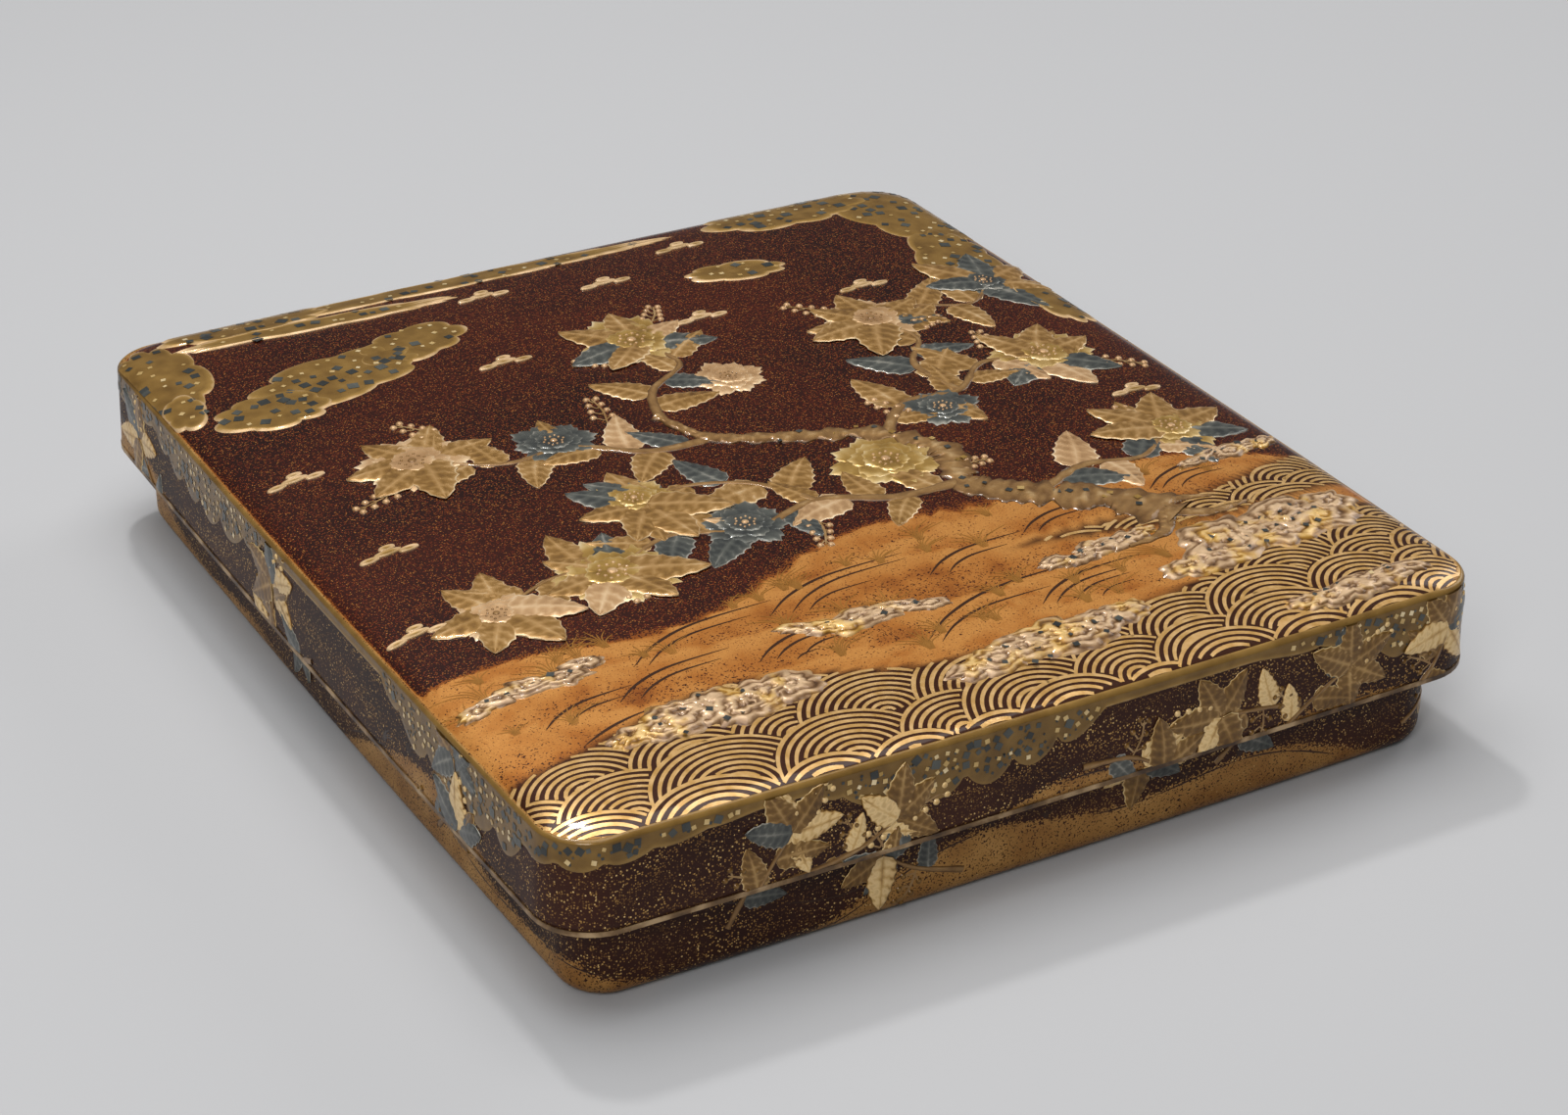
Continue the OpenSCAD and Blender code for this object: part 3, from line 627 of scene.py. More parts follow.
# Matt paint: a pale neutral grey that shows shadows and no reflections.
floor_paint = new_material("matte_floor_paint")
add(floor_paint, "ShaderNodeOutputMaterial", {
    "Surface": add(floor_paint, "ShaderNodeBsdfPrincipled", {
        "Base Color": linear("#aeaeaf"), "Roughness": 0.9, "Specular IOR Level": 0.1})})
floor_mesh.materials.append(floor_paint)

# %% Studio light: a dim room, three soft boxes and a small lamp for a glint
world = bpy.data.worlds.new("dim_room")
world.use_nodes = True
world.node_tree.nodes["Background"].inputs[0].default_value = linear("#9a9ca0")
world.node_tree.nodes["Background"].inputs[1].default_value = 0.3
bpy.context.scene.world = world

LAMPS = [
    # name, place, size, power in watts, what it aims at
    ("overhead_box", (-0.1, 0.1, 1.5), (1.4, 1.4), 21.5, (0, 0, 0.02)),
    ("front_left_box", (-0.75, -0.9, 0.9), (0.5, 0.5), 8.5, (0, 0, 0.02)),
    ("right_box", (1.2, 0.3, 0.7), (0.6, 0.8), 4, (0, 0, 0.02)),
    # This one mirrors in the rounded near corner of the lid.
    ("corner_glint", (0.045, 0.509, 1.06), (0.08, 0.08), 3.8, (-0.09, -0.105, 0.04)),
]
for name, place, size, power, aim in LAMPS:
    lamp = bpy.data.lights.new(name, "AREA")
    lamp.shape = "RECTANGLE"
    lamp.size, lamp.size_y = size
    lamp.energy = power
    turn = (Vector(aim) - Vector(place)).to_track_quat("-Z", "Y")
    put_in_scene(name, lamp).matrix_world = Matrix.Translation(place) @ turn.to_matrix().to_4x4()
bpy.context.scene.view_settings.view_transform = "Standard"
print("lamps:", len(LAMPS))

# %% [markdown]
# ## Seating a picture on a curved lid
#
# The picture is designed flat, in millimetres, and then seated. On the lid a ray
# goes straight down through each point until it meets the skin, and the point is
# lifted off along the skin's normal by its own height. On the walls the point
# goes by its distance round the outline and its height above the table. Every
# motif below takes one of these seats, so the same leaf serves lid and walls.

# %% Seats: where a flat point of the picture goes on the box
# Rays go down from a level in metres that is well above the whole box.
DOWN = Vector((0, 0, -1))
ABOVE = 0.2


def surface_of(mesh):
    """The surface of a mesh, ready for rays."""
    bm = bmesh.new()
    bm.from_mesh(mesh)
    surface = BVHTree.FromBMesh(bm)
    bm.free()
    return surface


lid_surface = surface_of(lid_skin.data)


def on_lid(x, y, lift):
    """A point of the lid's picture, in mm, raised by lift mm."""
    spot, normal, _, _ = lid_surface.ray_cast(Vector((x * MM, y * MM, ABOVE)), DOWN)
    if spot is None:
        spot, normal, _, _ = lid_surface.find_nearest(Vector((x * MM, y * MM, EDGE_Z)))
    return spot + normal * (lift * MM)


def wall_seat(plan, inset_at):
    """A seat on a wall that follows plan, where inset_at(z) says how far it has moved in at z."""
    count = len(plan)
    run = [0.0]
    for i in range(count):
        (ax, ay), (bx, by) = plan[i], plan[(i + 1) % count]
        run.append(run[-1] + math.hypot(bx - ax, by - ay))

    def seat(s, z, lift):
        along = (s * MM) % run[-1]
        i = min(bisect.bisect_right(run, along), count) - 1
        (ax, ay), (bx, by) = plan[i], plan[(i + 1) % count]
        t = (along - run[i]) / (run[i + 1] - run[i])
        way = Vector((bx - ax, by - ay, 0)).normalized()
        out = Vector((way.y, -way.x, 0))
        point = Vector((ax + (bx - ax) * t, ay + (by - ay) * t, z * MM))
        return point + out * (lift * MM - inset_at(z * MM))

    return seat, run[-1] / MM


def foot_inset(z):
    """How far the box's wall has moved in at height z, on the round of its foot."""
    return FOOT - math.sqrt(max(0.0, FOOT ** 2 - (FOOT - z) ** 2)) if z < FOOT else 0.0


on_lid_wall, lid_round = wall_seat(outline(LID_WIDTH, LID_LENGTH, LID_CORNER), lean_at)
on_box_wall, box_round = wall_seat(outline(BOX_WIDTH, BOX_LENGTH, BOX_CORNER), foot_inset)
print("way round lid and box: %.0f and %.0f mm" % (lid_round, box_round))

# %% [markdown]
# ## Raised gold
#
# Takamaki-e is modelled in lacquer and charcoal powder under the gold, so forms
# stand a few tenths of a millimetre proud and their crests are rubbed brighter
# than their hollows. Each motif is a grid patch bent into its outline. It stores
# how near each vertex lies to a crest, and the finishes read that to darken the
# hollows and edges. That darkening is partly the worn gold of such a box and
# partly painted shade, where the relief would shadow itself.

# %% Patches: a grid bent into the outline of a motif
# The borders of a motif sink this many millimetres into the lacquer, so no gap shows.
SUNK = -0.05


def new_relief():
    """An empty bmesh that stores a crest value at each vertex."""
    bm = bmesh.new()
    bm.verts.layers.float.new("crest")
    return bm


def patch(bm, columns, rows, place):
    """A grid whose corner (u, v), each from 0 to 1, goes where place(u, v) says."""
    crest = bm.verts.layers.float["crest"]
    for vert in bmesh.ops.create_grid(bm, x_segments=columns, y_segments=rows, size=1.0)["verts"]:
        vert.co, vert[crest] = place((vert.co.x + 1) / 2, (vert.co.y + 1) / 2)


def close_ends(bm):
    """Merges the ends where a patch runs to a point."""
    bmesh.ops.remove_doubles(bm, verts=list(bm.verts), dist=0.004 * MM)
    bmesh.ops.dissolve_degenerate(bm, edges=list(bm.edges), dist=0.002 * MM)


def mount(name, bm, finish, slot, body="lid"):
    """Makes one piece of the picture with its finish. The slot is not used."""
    make_piece(name, bm, body, [finish])


def turned(base, angle, along, off):
    """The point that lies along and off from base, when one looks in the direction of angle."""
    c, s = math.cos(math.radians(angle)), math.sin(math.radians(angle))
    return base[0] + along * c - off * s, base[1] + along * s + off * c


def ridge(distance, width):
    """The section of a soft ridge: 1 on its line, and almost 0 at twice its width."""
    return math.exp(-(distance / width) ** 2)


# %% Paths and drawn lines
def walk(path, u):
    """The point at share u of a path, and the path's direction there."""
    last = len(path) - 1
    i = min(int(u * last), last - 1)
    (ax, ay), (bx, by) = path[i], path[i + 1]
    t = u * last - i
    length = math.hypot(bx - ax, by - ay) or 1.0
    return ax + (bx - ax) * t, ay + (by - ay) * t, (bx - ax) / length, (by - ay) / length


def curve(points, steps=8):
    """A smooth path through a few chosen points."""
    path = []
    ends = [points[0]] + list(points) + [points[-1]]
    for i in range(1, len(ends) - 2):
        p0, p1, p2, p3 = ends[i - 1:i + 3]
        for k in range(steps):
            t = k / steps
            path.append(tuple(
                0.5 * (2 * p1[n] + (p2[n] - p0[n]) * t + (2 * p0[n] - 5 * p1[n] + 4 * p2[n] - p3[n]) * t * t
                       + (3 * p1[n] - p0[n] - 3 * p2[n] + p3[n]) * t ** 3) for n in (0, 1)))
    path.append(tuple(points[-1]))
    return path


def stroke(bm, seat, path, width, lift=0.05, taper=0.5):
    """A drawn line: a flat ribbon along path, thinner towards its ends."""
    def place(u, v):
        x, y, dx, dy = walk(path, u)
        off = width * (1 - taper + taper * math.sin(math.pi * held(u))) * (v - 0.5)
        return seat(x - dy * off, y + dx * off, lift), 0.7

    patch(bm, len(path) - 1, 1, place)


# %% Blades: leaves
def blade(bm, seat, base, angle, length, width, lift=0.0, bend=0.0):
    """A leaf from base outwards, with toothed and raised rim, midrib and side veins."""
    shape, veins, height = 0.55, 6, 0.45

    def place(u, v):
        across = -math.cos(math.pi * v)
        tooth = 1 + 0.09 * math.cos(2 * math.pi * veins * u) * abs(across)
        half = width / 2 * math.sin(math.pi * u ** shape) ** 0.65 * tooth
        vein = (0.5 + 0.5 * math.cos(2 * math.pi * (veins * u - 0.9 * abs(across)))) ** 3
        line = max(0.8 * ridge(across, 0.13), ridge(1 - abs(across), 0.1), 0.6 * vein)
        swelling = 0.2 + 0.8 * min(1.0, u / 0.45) ** 1.5
        rise = height * swelling * (1 - across ** 4) * (0.6 + 0.35 * line)
        if abs(across) > 0.999:
            rise = SUNK
        x, y = turned(base, angle, length * u, half * across + bend * length * u * u)
        return seat(x, y, lift + rise), 0.36 + 0.16 * abs(across) + 0.5 * line

    patch(bm, 18, 12, place)


# %% Limbs: trunks, branches and stems
def limb(bm, seat, path, wide_at, height, rough):
    """A half-round relief along path, where wide_at(u) is its width and rough is its gnarl."""
    def place(u, v):
        x, y, dx, dy = walk(path, u)
        phi = math.pi * v
        knot = noise.noise(Vector((x * 0.35, y * 0.35, 3.0)))
        bark = noise.noise(Vector((x * 0.8, y * 0.8, 1.6 * phi)))
        off = -wide_at(u) / 2 * math.cos(phi) * (1 + rough * knot)
        rise = height * math.sin(phi) * (1 + rough * bark) + SUNK
        # Darker towards both edges of the half-round: partly wear, partly painted shade on its sides; the
        # bark noise is its own texture.
        crest = math.sin(phi) * (0.62 + 0.4 * rough * bark)
        return seat(x - dy * off, y + dx * off, rise), crest

    per_step, around = (5, 12) if rough > 0.5 else (2, 8)
    patch(bm, per_step * (len(path) - 1), around, place)


# %% The finish of everything raised or drawn
def raised_finish(name, stops, metal, rough, patina_mm=6, second=None):
    """A relief finish: hollows take the first colour of the ramp and crests the last."""
    material = new_material(name)
    crest = add(material, "ShaderNodeAttribute", {}, out="Fac", attribute_name="crest")
    worn = add(material, "ShaderNodeMath", {0: cloudy(material, patina_mm, 4), 1: 0.5}, operation="SUBTRACT")
    # Low crest values darken hollows and edges: partly wear, partly painted shade.
    moved = add(material, "ShaderNodeMath", {0: worn, 1: 0.7, 2: crest}, operation="MULTIPLY_ADD")
    colour = add(material, "ShaderNodeValToRGB", {0: moved}, stops=stops)
    if second:
        patches = add(material, "ShaderNodeMapRange", {
            "Value": cloudy(material, 7, 4), "From Min": 0.5, "From Max": 0.62})
        other = add(material, "ShaderNodeValToRGB", {0: moved}, stops=second)
        colour = add(material, "ShaderNodeMix", {SHARE: patches, UNDER: colour, OVER: other},
                     out=MIXED, data_type="RGBA")
    powder, _ = grain(material, 0.35, 0.5, 0.5)
    lacquer_body(material, colour, metal, rough, powder)
    return material


# Gold powder on black lacquer: a warm middle gold, nearly black where it has worn off and in the painted
# shade of its hollows.
gold_finish = raised_finish("raised_gold", [
    (0.0, "#241408"), (0.25, "#624320"), (0.5, "#8c6836"), (0.75, "#b08a58"), (1.0, "#dabe94")], 0.35, 0.36)
# Finer and more burnished powder: the flowers stand out lighter than their leaves.
blossom_finish = raised_finish("blossom_gold", [
    (0.0, "#301e0c"), (0.3, "#7d5e28"), (0.55, "#a68344"), (0.8, "#cdae74"), (1.0, "#ecd8ae")], 0.4, 0.32)
# The same gold on the walls, where hands have dulled it to a brown.
wall_gold_finish = raised_finish("dull_raised_gold", [
    (0.0, "#2a1806"), (0.35, "#5c3f18"), (0.6, "#7c5a2a"), (0.85, "#b08c56"), (1.0, "#dcc08a")], 0.3, 0.42)
# Sprinkled, not polished: an even mustard gold with a pale line round each cloud.
cloud_finish = raised_finish("cloud_gold", [
    (0.0, "#42290c"), (0.4, "#785a2a"), (0.7, "#93723a"), (1.0, "#cfae84")], 0.3, 0.42)
# Leaf of gold rich in silver: cream between dark veins.
pale_finish = raised_finish("pale_gold_leaf", [
    (0.0, "#6a4a20"), (0.25, "#c09b62"), (0.5, "#e6c68e"), (0.7, "#cba466"), (0.9, "#7c5828")], 0.15, 0.42)
# Gold with copper in it: a faint pink beside the yellow gold.
rose_finish = raised_finish("pale_rose_gold", [
    (0.0, "#452a16"), (0.3, "#94704a"), (0.6, "#b9946a"), (0.85, "#d3b48c"), (1.0, "#ecd4b0")], 0.3, 0.38)
# Tarnished silver powder: slate grey that looks blue beside the gold.
slate_finish = raised_finish("slate_silver", [
    (0.0, "#171716"), (0.4, "#3b3d3b"), (0.7, "#5a5b55"), (1.0, "#a39e92")], 0.3, 0.36)
# Silver and gold dusted in patches over high relief: warm grey that turns to yellow.
rock_finish = raised_finish("rock_silver_and_gold", [
    (0.0, "#2e1a0c"), (0.3, "#6a4c30"), (0.6, "#937454"), (0.95, "#d0b08a")], 0.22, 0.36, 3,
    second=[(0.0, "#3c220a"), (0.3, "#7a531e"), (0.6, "#a67b34"), (0.95, "#dcb878")])
# Gold drawn with a fine brush and polished hard: the brightest lines on the lid.
line_finish = raised_finish("drawn_gold", [
    (0.0, "#8e6630"), (0.6, "#c29656"), (1.0, "#eec68e")], 0.45, 0.26, 2.5)
# Thin gold that lets the lacquer show: grass a little darker and browner than the shore.
grass_finish = raised_finish("brown_gold_line", [(0.0, "#6a4214"), (1.0, "#9a6a2c")], 0.2, 0.4)
# Coarse powder over rough relief: a bark of brown gold.
bark_finish = raised_finish("bark_gold", [
    (0.0, "#2a1a0c"), (0.35, "#6b4c2a"), (0.65, "#8f6d42"), (1.0, "#c4a67a")], 0.3, 0.38, 4)
# Bare lacquer, drawn with the brush: dark lines without any metal.
ink_finish = raised_finish("dark_drawn_line", [(0.0, "#1a0d06"), (1.0, "#3a2010")], 0.0, 0.4)
print("materials so far:", len(bpy.data.materials))

# %% [markdown]
# ## Waves
#
# The water is the old pattern of overlapping domes, each drawn as a stack of
# arcs. The domes shrink a little from left to right. A dome hides what lies
# behind it, so before an arc is drawn each of its points is tested against every
# dome in front. Runs of points that stay clear become one gold line each.

# %% Where the domes stand
LINE_GAP = 1.75
LINE_WIDTH = 0.95
FLATNESS = 0.9
ROW_STEP = 0.58
ROWS = 14
REACH = 122


def dome_radius(x):
    """The usual size of a dome at x, which falls from left to right."""
    return 17.5 - 0.026 * (x + HALF_WIDTH)


random.seed(7)
domes = []
for row in range(ROWS):
    x = -REACH + (row % 2) * 12
    while x < REACH:
        r = dome_radius(x) * random.uniform(0.8, 1.2)
        level = ROW_STEP * dome_radius(x) * row + random.uniform(-1.5, 1.5)
        domes.append((x, -HALF_LENGTH - 7 + level, r, row))
        x += r * 1.4
print("domes:", len(domes))

# %% Overlapping arcs along the lid's lower edge
def inside_plan(x, y, margin):
    """Whether a point lies on the lid, at least margin in from its edge."""
    a, b = HALF_WIDTH - margin, HALF_LENGTH - margin
    if abs(x) > a or abs(y) > b:
        return False
    cut = LID_CORNER / MM - margin / 2
    dx, dy = abs(x) - (a - cut), abs(y) - (b - cut)
    return dx < 0 or dy < 0 or math.hypot(dx, dy) < cut


def hidden(x, y, dome):
    """Whether a dome in front of this one covers the point."""
    for cx, cy, r, row in domes:
        nearer = row < dome[3] or (row == dome[3] and cx > dome[0])
        if nearer and abs(x - cx) < r and y > cy - r and math.hypot(x - cx, (y - cy) / FLATNESS) < r - 0.2:
            return True
    return False


def draw_arc(bm, dome, r):
    """Draws those runs of an arc that lie on water and that nothing hides."""
    steps = max(8, int(r * 2.4))
    run = []
    for k in range(steps + 2):
        a = math.pi * (1 - k / steps)
        x, y = dome[0] + r * math.cos(a), dome[1] + FLATNESS * r * math.sin(a)
        # The extra step past the end is never wet, so it closes the last run.
        wet = k <= steps and water_depth(x, y) > 0.4 and inside_plan(x, y, 0.9)
        if wet and not hidden(x, y, dome):
            run.append((x, y))
        else:
            if len(run) > 2:
                stroke(bm, on_lid, run, LINE_WIDTH, 0.06, 0.3)
            run = []


wave_bm = new_relief()
for dome in domes:
    r = dome[2]
    while r > 1.2:
        draw_arc(wave_bm, dome, r)
        r -= LINE_GAP
mount("lid_waves", wave_bm, line_finish, "gilt_rim")

# %% [markdown]
# ## Clouds with cut gold and silver
#
# Clouds are low cushions of lacquer with scalloped edges. Their raised border is
# rubbed bright, and small squares of foil are laid into the gold while it is wet,
# dark silver ones and pale gold ones. A cloud is a disc patch whose radius swings
# with the angle. Small clouds drift between them as four lenses each. On the
# walls the cloud is a band that hangs from the edge of the lid.

# %% Scalloped discs
def on_lid_held(x, y, lift, margin=0.9):
    """A point of the lid's picture, moved to the nearest point of the plan when it lies outside."""
    corner = LID_CORNER / MM - margin
    a, b = HALF_WIDTH - margin, HALF_LENGTH - margin
    x, y = held(x, -a, a), held(y, -b, b)
    dx, dy = abs(x) - (a - corner), abs(y) - (b - corner)
    if dx > 0 and dy > 0 and math.hypot(dx, dy) > corner:
        pull = corner / math.hypot(dx, dy)
        x = math.copysign(a - corner + dx * pull, x)
        y = math.copysign(b - corner + dy * pull, y)
    return on_lid(x, y, lift)


def disc(bm, seat, centre, radius_at, rise_at, crest_at, rings, sides, turn=0.0):
    """A round patch: radius_at(angle) gives its edge, rise_at and crest_at(r, x, y) its relief."""
    def place(u, v):
        rx, ry = radius_at(2 * math.pi * v)
        x, y = turned(centre, turn, u * rx, u * ry)
        return seat(x, y, rise_at(u, x, y) if u < 1 else -0.06), crest_at(u, x, y)

    patch(bm, rings, sides, place)


def cloud(bm, seat, centre, size, lobes, turn, start, lift=0.0, sides=72):
    """One cloud: an ellipse of the given half sizes with scalloped lobes."""
    def radius_at(a):
        bend = a + 0.22 * math.sin(2 * a + start)
        swell = 0.8 + 0.2 * abs(math.sin(lobes * bend / 2 + start)) ** 0.6
        return size[0] * swell * math.cos(a), size[1] * swell * math.sin(a)

    def rise_at(u, x, y):
        return lift + 0.22 + 0.12 * ridge((1 - u) * min(size), 0.9)

    def crest_at(u, x, y):
        border = ridge(max(0.0, (1 - u) * min(size) - 0.25), 0.75)
        return 0.42 + 0.5 * border + 0.12 * noise.noise(Vector((x * 0.4, y * 0.4, 1)))

    disc(bm, seat, centre, radius_at, rise_at, crest_at, 12, sides, turn)


# %% Cut squares of foil
QUARTER_TURN = 1.57
DARK_TONE, PALE_TONE = 0.45, 0.8


def square(bm, seat, x, y, size, turn, lift, tone=DARK_TONE):
    """One square, turned by an angle in radians."""
    c, s = math.cos(turn) * size / 2, math.sin(turn) * size / 2
    tone += random.uniform(-0.15, 0.15)

    def place(u, v):
        p, q = 2 * u - 1, 2 * v - 1
        return seat(x + p * c - q * s, y + p * s + q * c, lift), tone

    patch(bm, 1, 1, place)


def inlay(dark_bm, pale_bm, centre, size, step, lift, turn, dark_share=0.55, dark_size=(1.3, 2.6)):
    """Squares scattered over an ellipse on the lid, on a loose grid so that few overlap."""
    across, up = int(size[0] / step), int(size[1] / step)
    for i in range(-across, across + 1):
        for j in range(-up, up + 1):
            p = (i + random.uniform(-0.3, 0.3)) * step
            q = (j + random.uniform(-0.3, 0.3)) * step
            if (p / (0.82 * size[0])) ** 2 + (q / (0.82 * size[1])) ** 2 > 1 or random.random() < 0.2:
                continue
            x, y = turned(centre, turn, p, q)
            dark = random.random() < dark_share
            width = random.uniform(*dark_size) if dark else random.uniform(0.8, 1.2)
            square(dark_bm if dark else pale_bm, on_lid_held, x, y, width,
                   random.uniform(0, QUARTER_TURN), lift, DARK_TONE if dark else PALE_TONE)


# %% Clouds on the lid
CLOUDS = [
    # centre, half sizes, lobes, turn, start
    ((97, 100), (26, 17), 11, 100, 0.3),
    ((92, 66), (20, 11), 9, 80, 1.1),
    ((70, 112), (24, 11), 9, 0, 2.0),
    ((100, 36), (15, 7), 7, 95, 0.7),
    ((-66, 74), (23, 12), 9, 12, 0.2),
    ((-84, 66), (14, 9), 7, -8, 1.4),
    ((-44, 82), (16, 9), 7, 20, 2.3),
    ((-99, 96), (20, 11), 9, 88, 0.9),
    ((-72, 114), (22, 7), 9, 0, 1.7),
    ((-22, 113), (62, 4.2), 21, -1, 0.6),
    ((-58, 105), (36, 3.6), 13, -3, 1.2),
    ((-100, 78), (9, 5), 5, 85, 2.2),
    ((40, 82), (13, 6), 7, -10, 0.5),
]
SMALL_CLOUDS = [
    (-18, 100), (10, 92), (62, 60), (-92, 34), (-88, -6),
    (20, 62), (88, -16), (-30, 62), (-96, -38), (36, 104),
]
LENSES = [(0, 0, 3.4), (-4.4, -1.0, 2.4), (4.4, -0.8, 2.4), (0.6, 1.9, 2.0)]

random.seed(11)
cloud_bm, dark_squares, pale_squares = new_relief(), new_relief(), new_relief()
for k, (centre, size, lobes, turn, start) in enumerate(CLOUDS):
    cloud(cloud_bm, on_lid_held, centre, size, lobes, turn, start, lift=0.05 * (k % 3))
    inlay(dark_squares, pale_squares, centre, size, 3.6, 0.22 + 0.05 * (k % 3) + 0.08, turn)
for x, y in SMALL_CLOUDS:
    for dx, dy, reach in LENSES:
        cloud(cloud_bm, on_lid_held, (x + dx, y + dy), (reach, 1.0), 1, 3, 0.5, sides=24)
close_ends(cloud_bm)
print("squares so far:", len(dark_squares.faces) + len(pale_squares.faces))

# %% [markdown]
# ## Rocks
#
# Rocks are built up higher than anything else on the lid and dusted with silver
# and gold. Each is a heap of mounds, the tallest near the middle. The folds of a
# mound run in rings that follow its outline, bent by noise, like contours on a
# map. A few dark squares are laid into every rock.

# %% Rocks on the shore and in the water
ROCKS = [
    # centre, half sizes, turn, seed
    ((-60, -94), (24, 9), 8, 1),
    ((10, -103), (26, 9), 6, 3),
    ((72, -86), (30, 11), 10, 4),
    ((38, -77), (15, 4.5), 8, 6),
    ((-86, -69), (17, 5.5), 4, 7),
    ((-18, -78), (19, 5), -4, 8),
    ((78, -111), (19, 5.5), 4, 9),
    ((88, -51), (15, 4), 12, 10),
]


def mound(bm, centre, size, turn, seed, height):
    """One mound of a rock, with fluted ridges that follow its outline."""
    def radius_at(a):
        swing = noise.noise(Vector((1.7 * math.cos(a), 1.7 * math.sin(a), seed * 3.1)))
        reach = 0.88 + 0.34 * swing + 0.05 * math.cos(11 * a + seed)
        return size[0] * reach * math.cos(a), size[1] * reach * math.sin(a)

    def folds(u, x, y):
        rings = 1.0 + 0.26 * size[1]
        broad = noise.noise(Vector((x * 0.2, y * 0.3, seed)))
        fine = noise.noise(Vector((x * 0.7, y * 0.8, seed + 5)))
        return abs(math.cos(math.pi * (rings * u + 0.7 * broad + 0.25 * fine))) ** 0.75

    def rise_at(u, x, y):
        return height * (1 - u ** 4) * (0.5 + 0.5 * folds(u, x, y))

    # Light on the crests of the folds, dark in their hollows and at the mound's foot: partly wear, partly
    # painted shade.
    def crest_at(u, x, y):
        return 0.08 + 0.8 * folds(u, x, y) * (1 - 0.3 * u ** 6)

    disc(bm, on_lid_held, centre, radius_at, rise_at, crest_at, 16, 64, turn)


def rock(bm, centre, size, turn, seed):
    """A heap of mounds in a row."""
    random.seed(seed)
    count = 3 + int(size[0] / 6)
    for k in range(count):
        along = -0.72 + 1.44 * k / (count - 1)
        bulk = 1 - 0.5 * abs(along) + random.uniform(-0.15, 0.15)
        spot = turned(centre, turn, along * size[0], random.uniform(-0.2, 0.3) * size[1])
        mound(bm, spot, (size[0] * 0.34 * bulk + 2, size[1] * 0.8 * bulk), turn + random.uniform(-15, 15),
              seed + 0.37 * k, 0.5 + 0.06 * size[1] * bulk + 0.08 * (k % 3))


rock_bm = new_relief()
for spot in ROCKS:
    rock(rock_bm, *spot)
for centre, size, turn, seed in ROCKS:
    inlay(dark_squares, pale_squares, centre, (size[0] * 0.8, size[1] * 0.7), 4.0,
          0.5 + 0.05 * size[1], turn, 0.9, (0.8, 1.5))
close_ends(rock_bm)
mount("lid_rocks", rock_bm, rock_finish, "silver")

# %% [markdown]
# ## A flowering shrub
#
# The middle of the lid carries a shrub with large leaves and many-petalled
# flowers, in gold, pale gold and dark silver. A stem is one smooth curve through
# a few points. Leaves follow it on both sides in turn, and each branch ends in a
# fan of leaves, most of them with a flower on top.

# %% Petals, buds and flowers
def petal(bm, seat, base, angle, length, width, lift, height):
    """A broad petal with a waved rim and fine rays."""
    def place(u, v):
        across = 2 * v - 1
        half = width / 2 * (0.25 + 0.75 * math.sin(math.pi * min(1, u * 0.62)))
        tip = 1 - 0.3 * across ** 2 + 0.06 * math.cos(3 * math.pi * across)
        rim = min(1, ridge(1 - u, 0.12) + ridge(1 - abs(across), 0.16))
        ray = 0.5 + 0.5 * math.cos(9 * across * math.pi)
        rise = height * (0.35 + 0.65 * u) * (1 - 0.5 * across ** 2)
        if u > 0.99 or abs(across) > 0.99:
            rise = SUNK
        x, y = turned(base, angle, length * u * tip, half * across * (1 - 0.15 * u * u))
        return seat(x, y, lift + rise), 0.2 + 0.3 * u + 0.45 * rim + 0.14 * ray * (1 - rim)

    patch(bm, 8, 10, place)


def button(bm, seat, x, y, radius, lift=0.0, height=0.45, sides=10):
    """A small dome: a bud, a berry or a stamen."""
    def radius_at(a):
        return radius * math.cos(a), radius * math.sin(a)

    # Lighter in the middle and darker at the rim: a painted highlight and painted shade on the small dome.
    disc(bm, seat, (x, y), radius_at, lambda u, px, py: lift + height * math.sqrt(1 - u * u),
         lambda u, px, py: 0.66 - 0.4 * u * u, 3, sides)


PETAL_RINGS = [
    # count, length and width as shares of the radius, lift, turn
    (8, 1.0, 0.82, 0.0, 0), (6, 0.7, 0.72, 0.16, 20), (5, 0.45, 0.55, 0.32, 50),
]
STAMENS = 12


def flower(bm, heart_bm, seat, x, y, radius, turn=0.0):
    """Three rings of petals round a heart: a dome with a ring of stamens."""
    for count, reach, wide, lift, shift in PETAL_RINGS:
        for k in range(count):
            stretch = 1 + 0.08 * math.sin(3.7 * k + turn)
            petal(bm, seat, (x, y), turn + shift + 360 * k / count,
                  radius * reach * stretch, radius * wide, lift, 0.3)
    button(heart_bm, seat, x, y, radius * 0.11, 0.45, 0.25, 14)
    for k in range(STAMENS):
        a, r = 2 * math.pi * k / STAMENS, radius * (0.19 if k % 2 else 0.24)
        button(heart_bm, seat, x + r * math.cos(a), y + r * math.sin(a), radius * 0.04, 0.5, 0.2, 8)


# %% Stems with their leaves, and sprays of buds
def direction(path, i):
    """The way a path goes at one of its points, in degrees."""
    (ax, ay), (bx, by) = path[max(0, i - 1)], path[min(len(path) - 1, i + 1)]
    return math.degrees(math.atan2(by - ay, bx - ax))


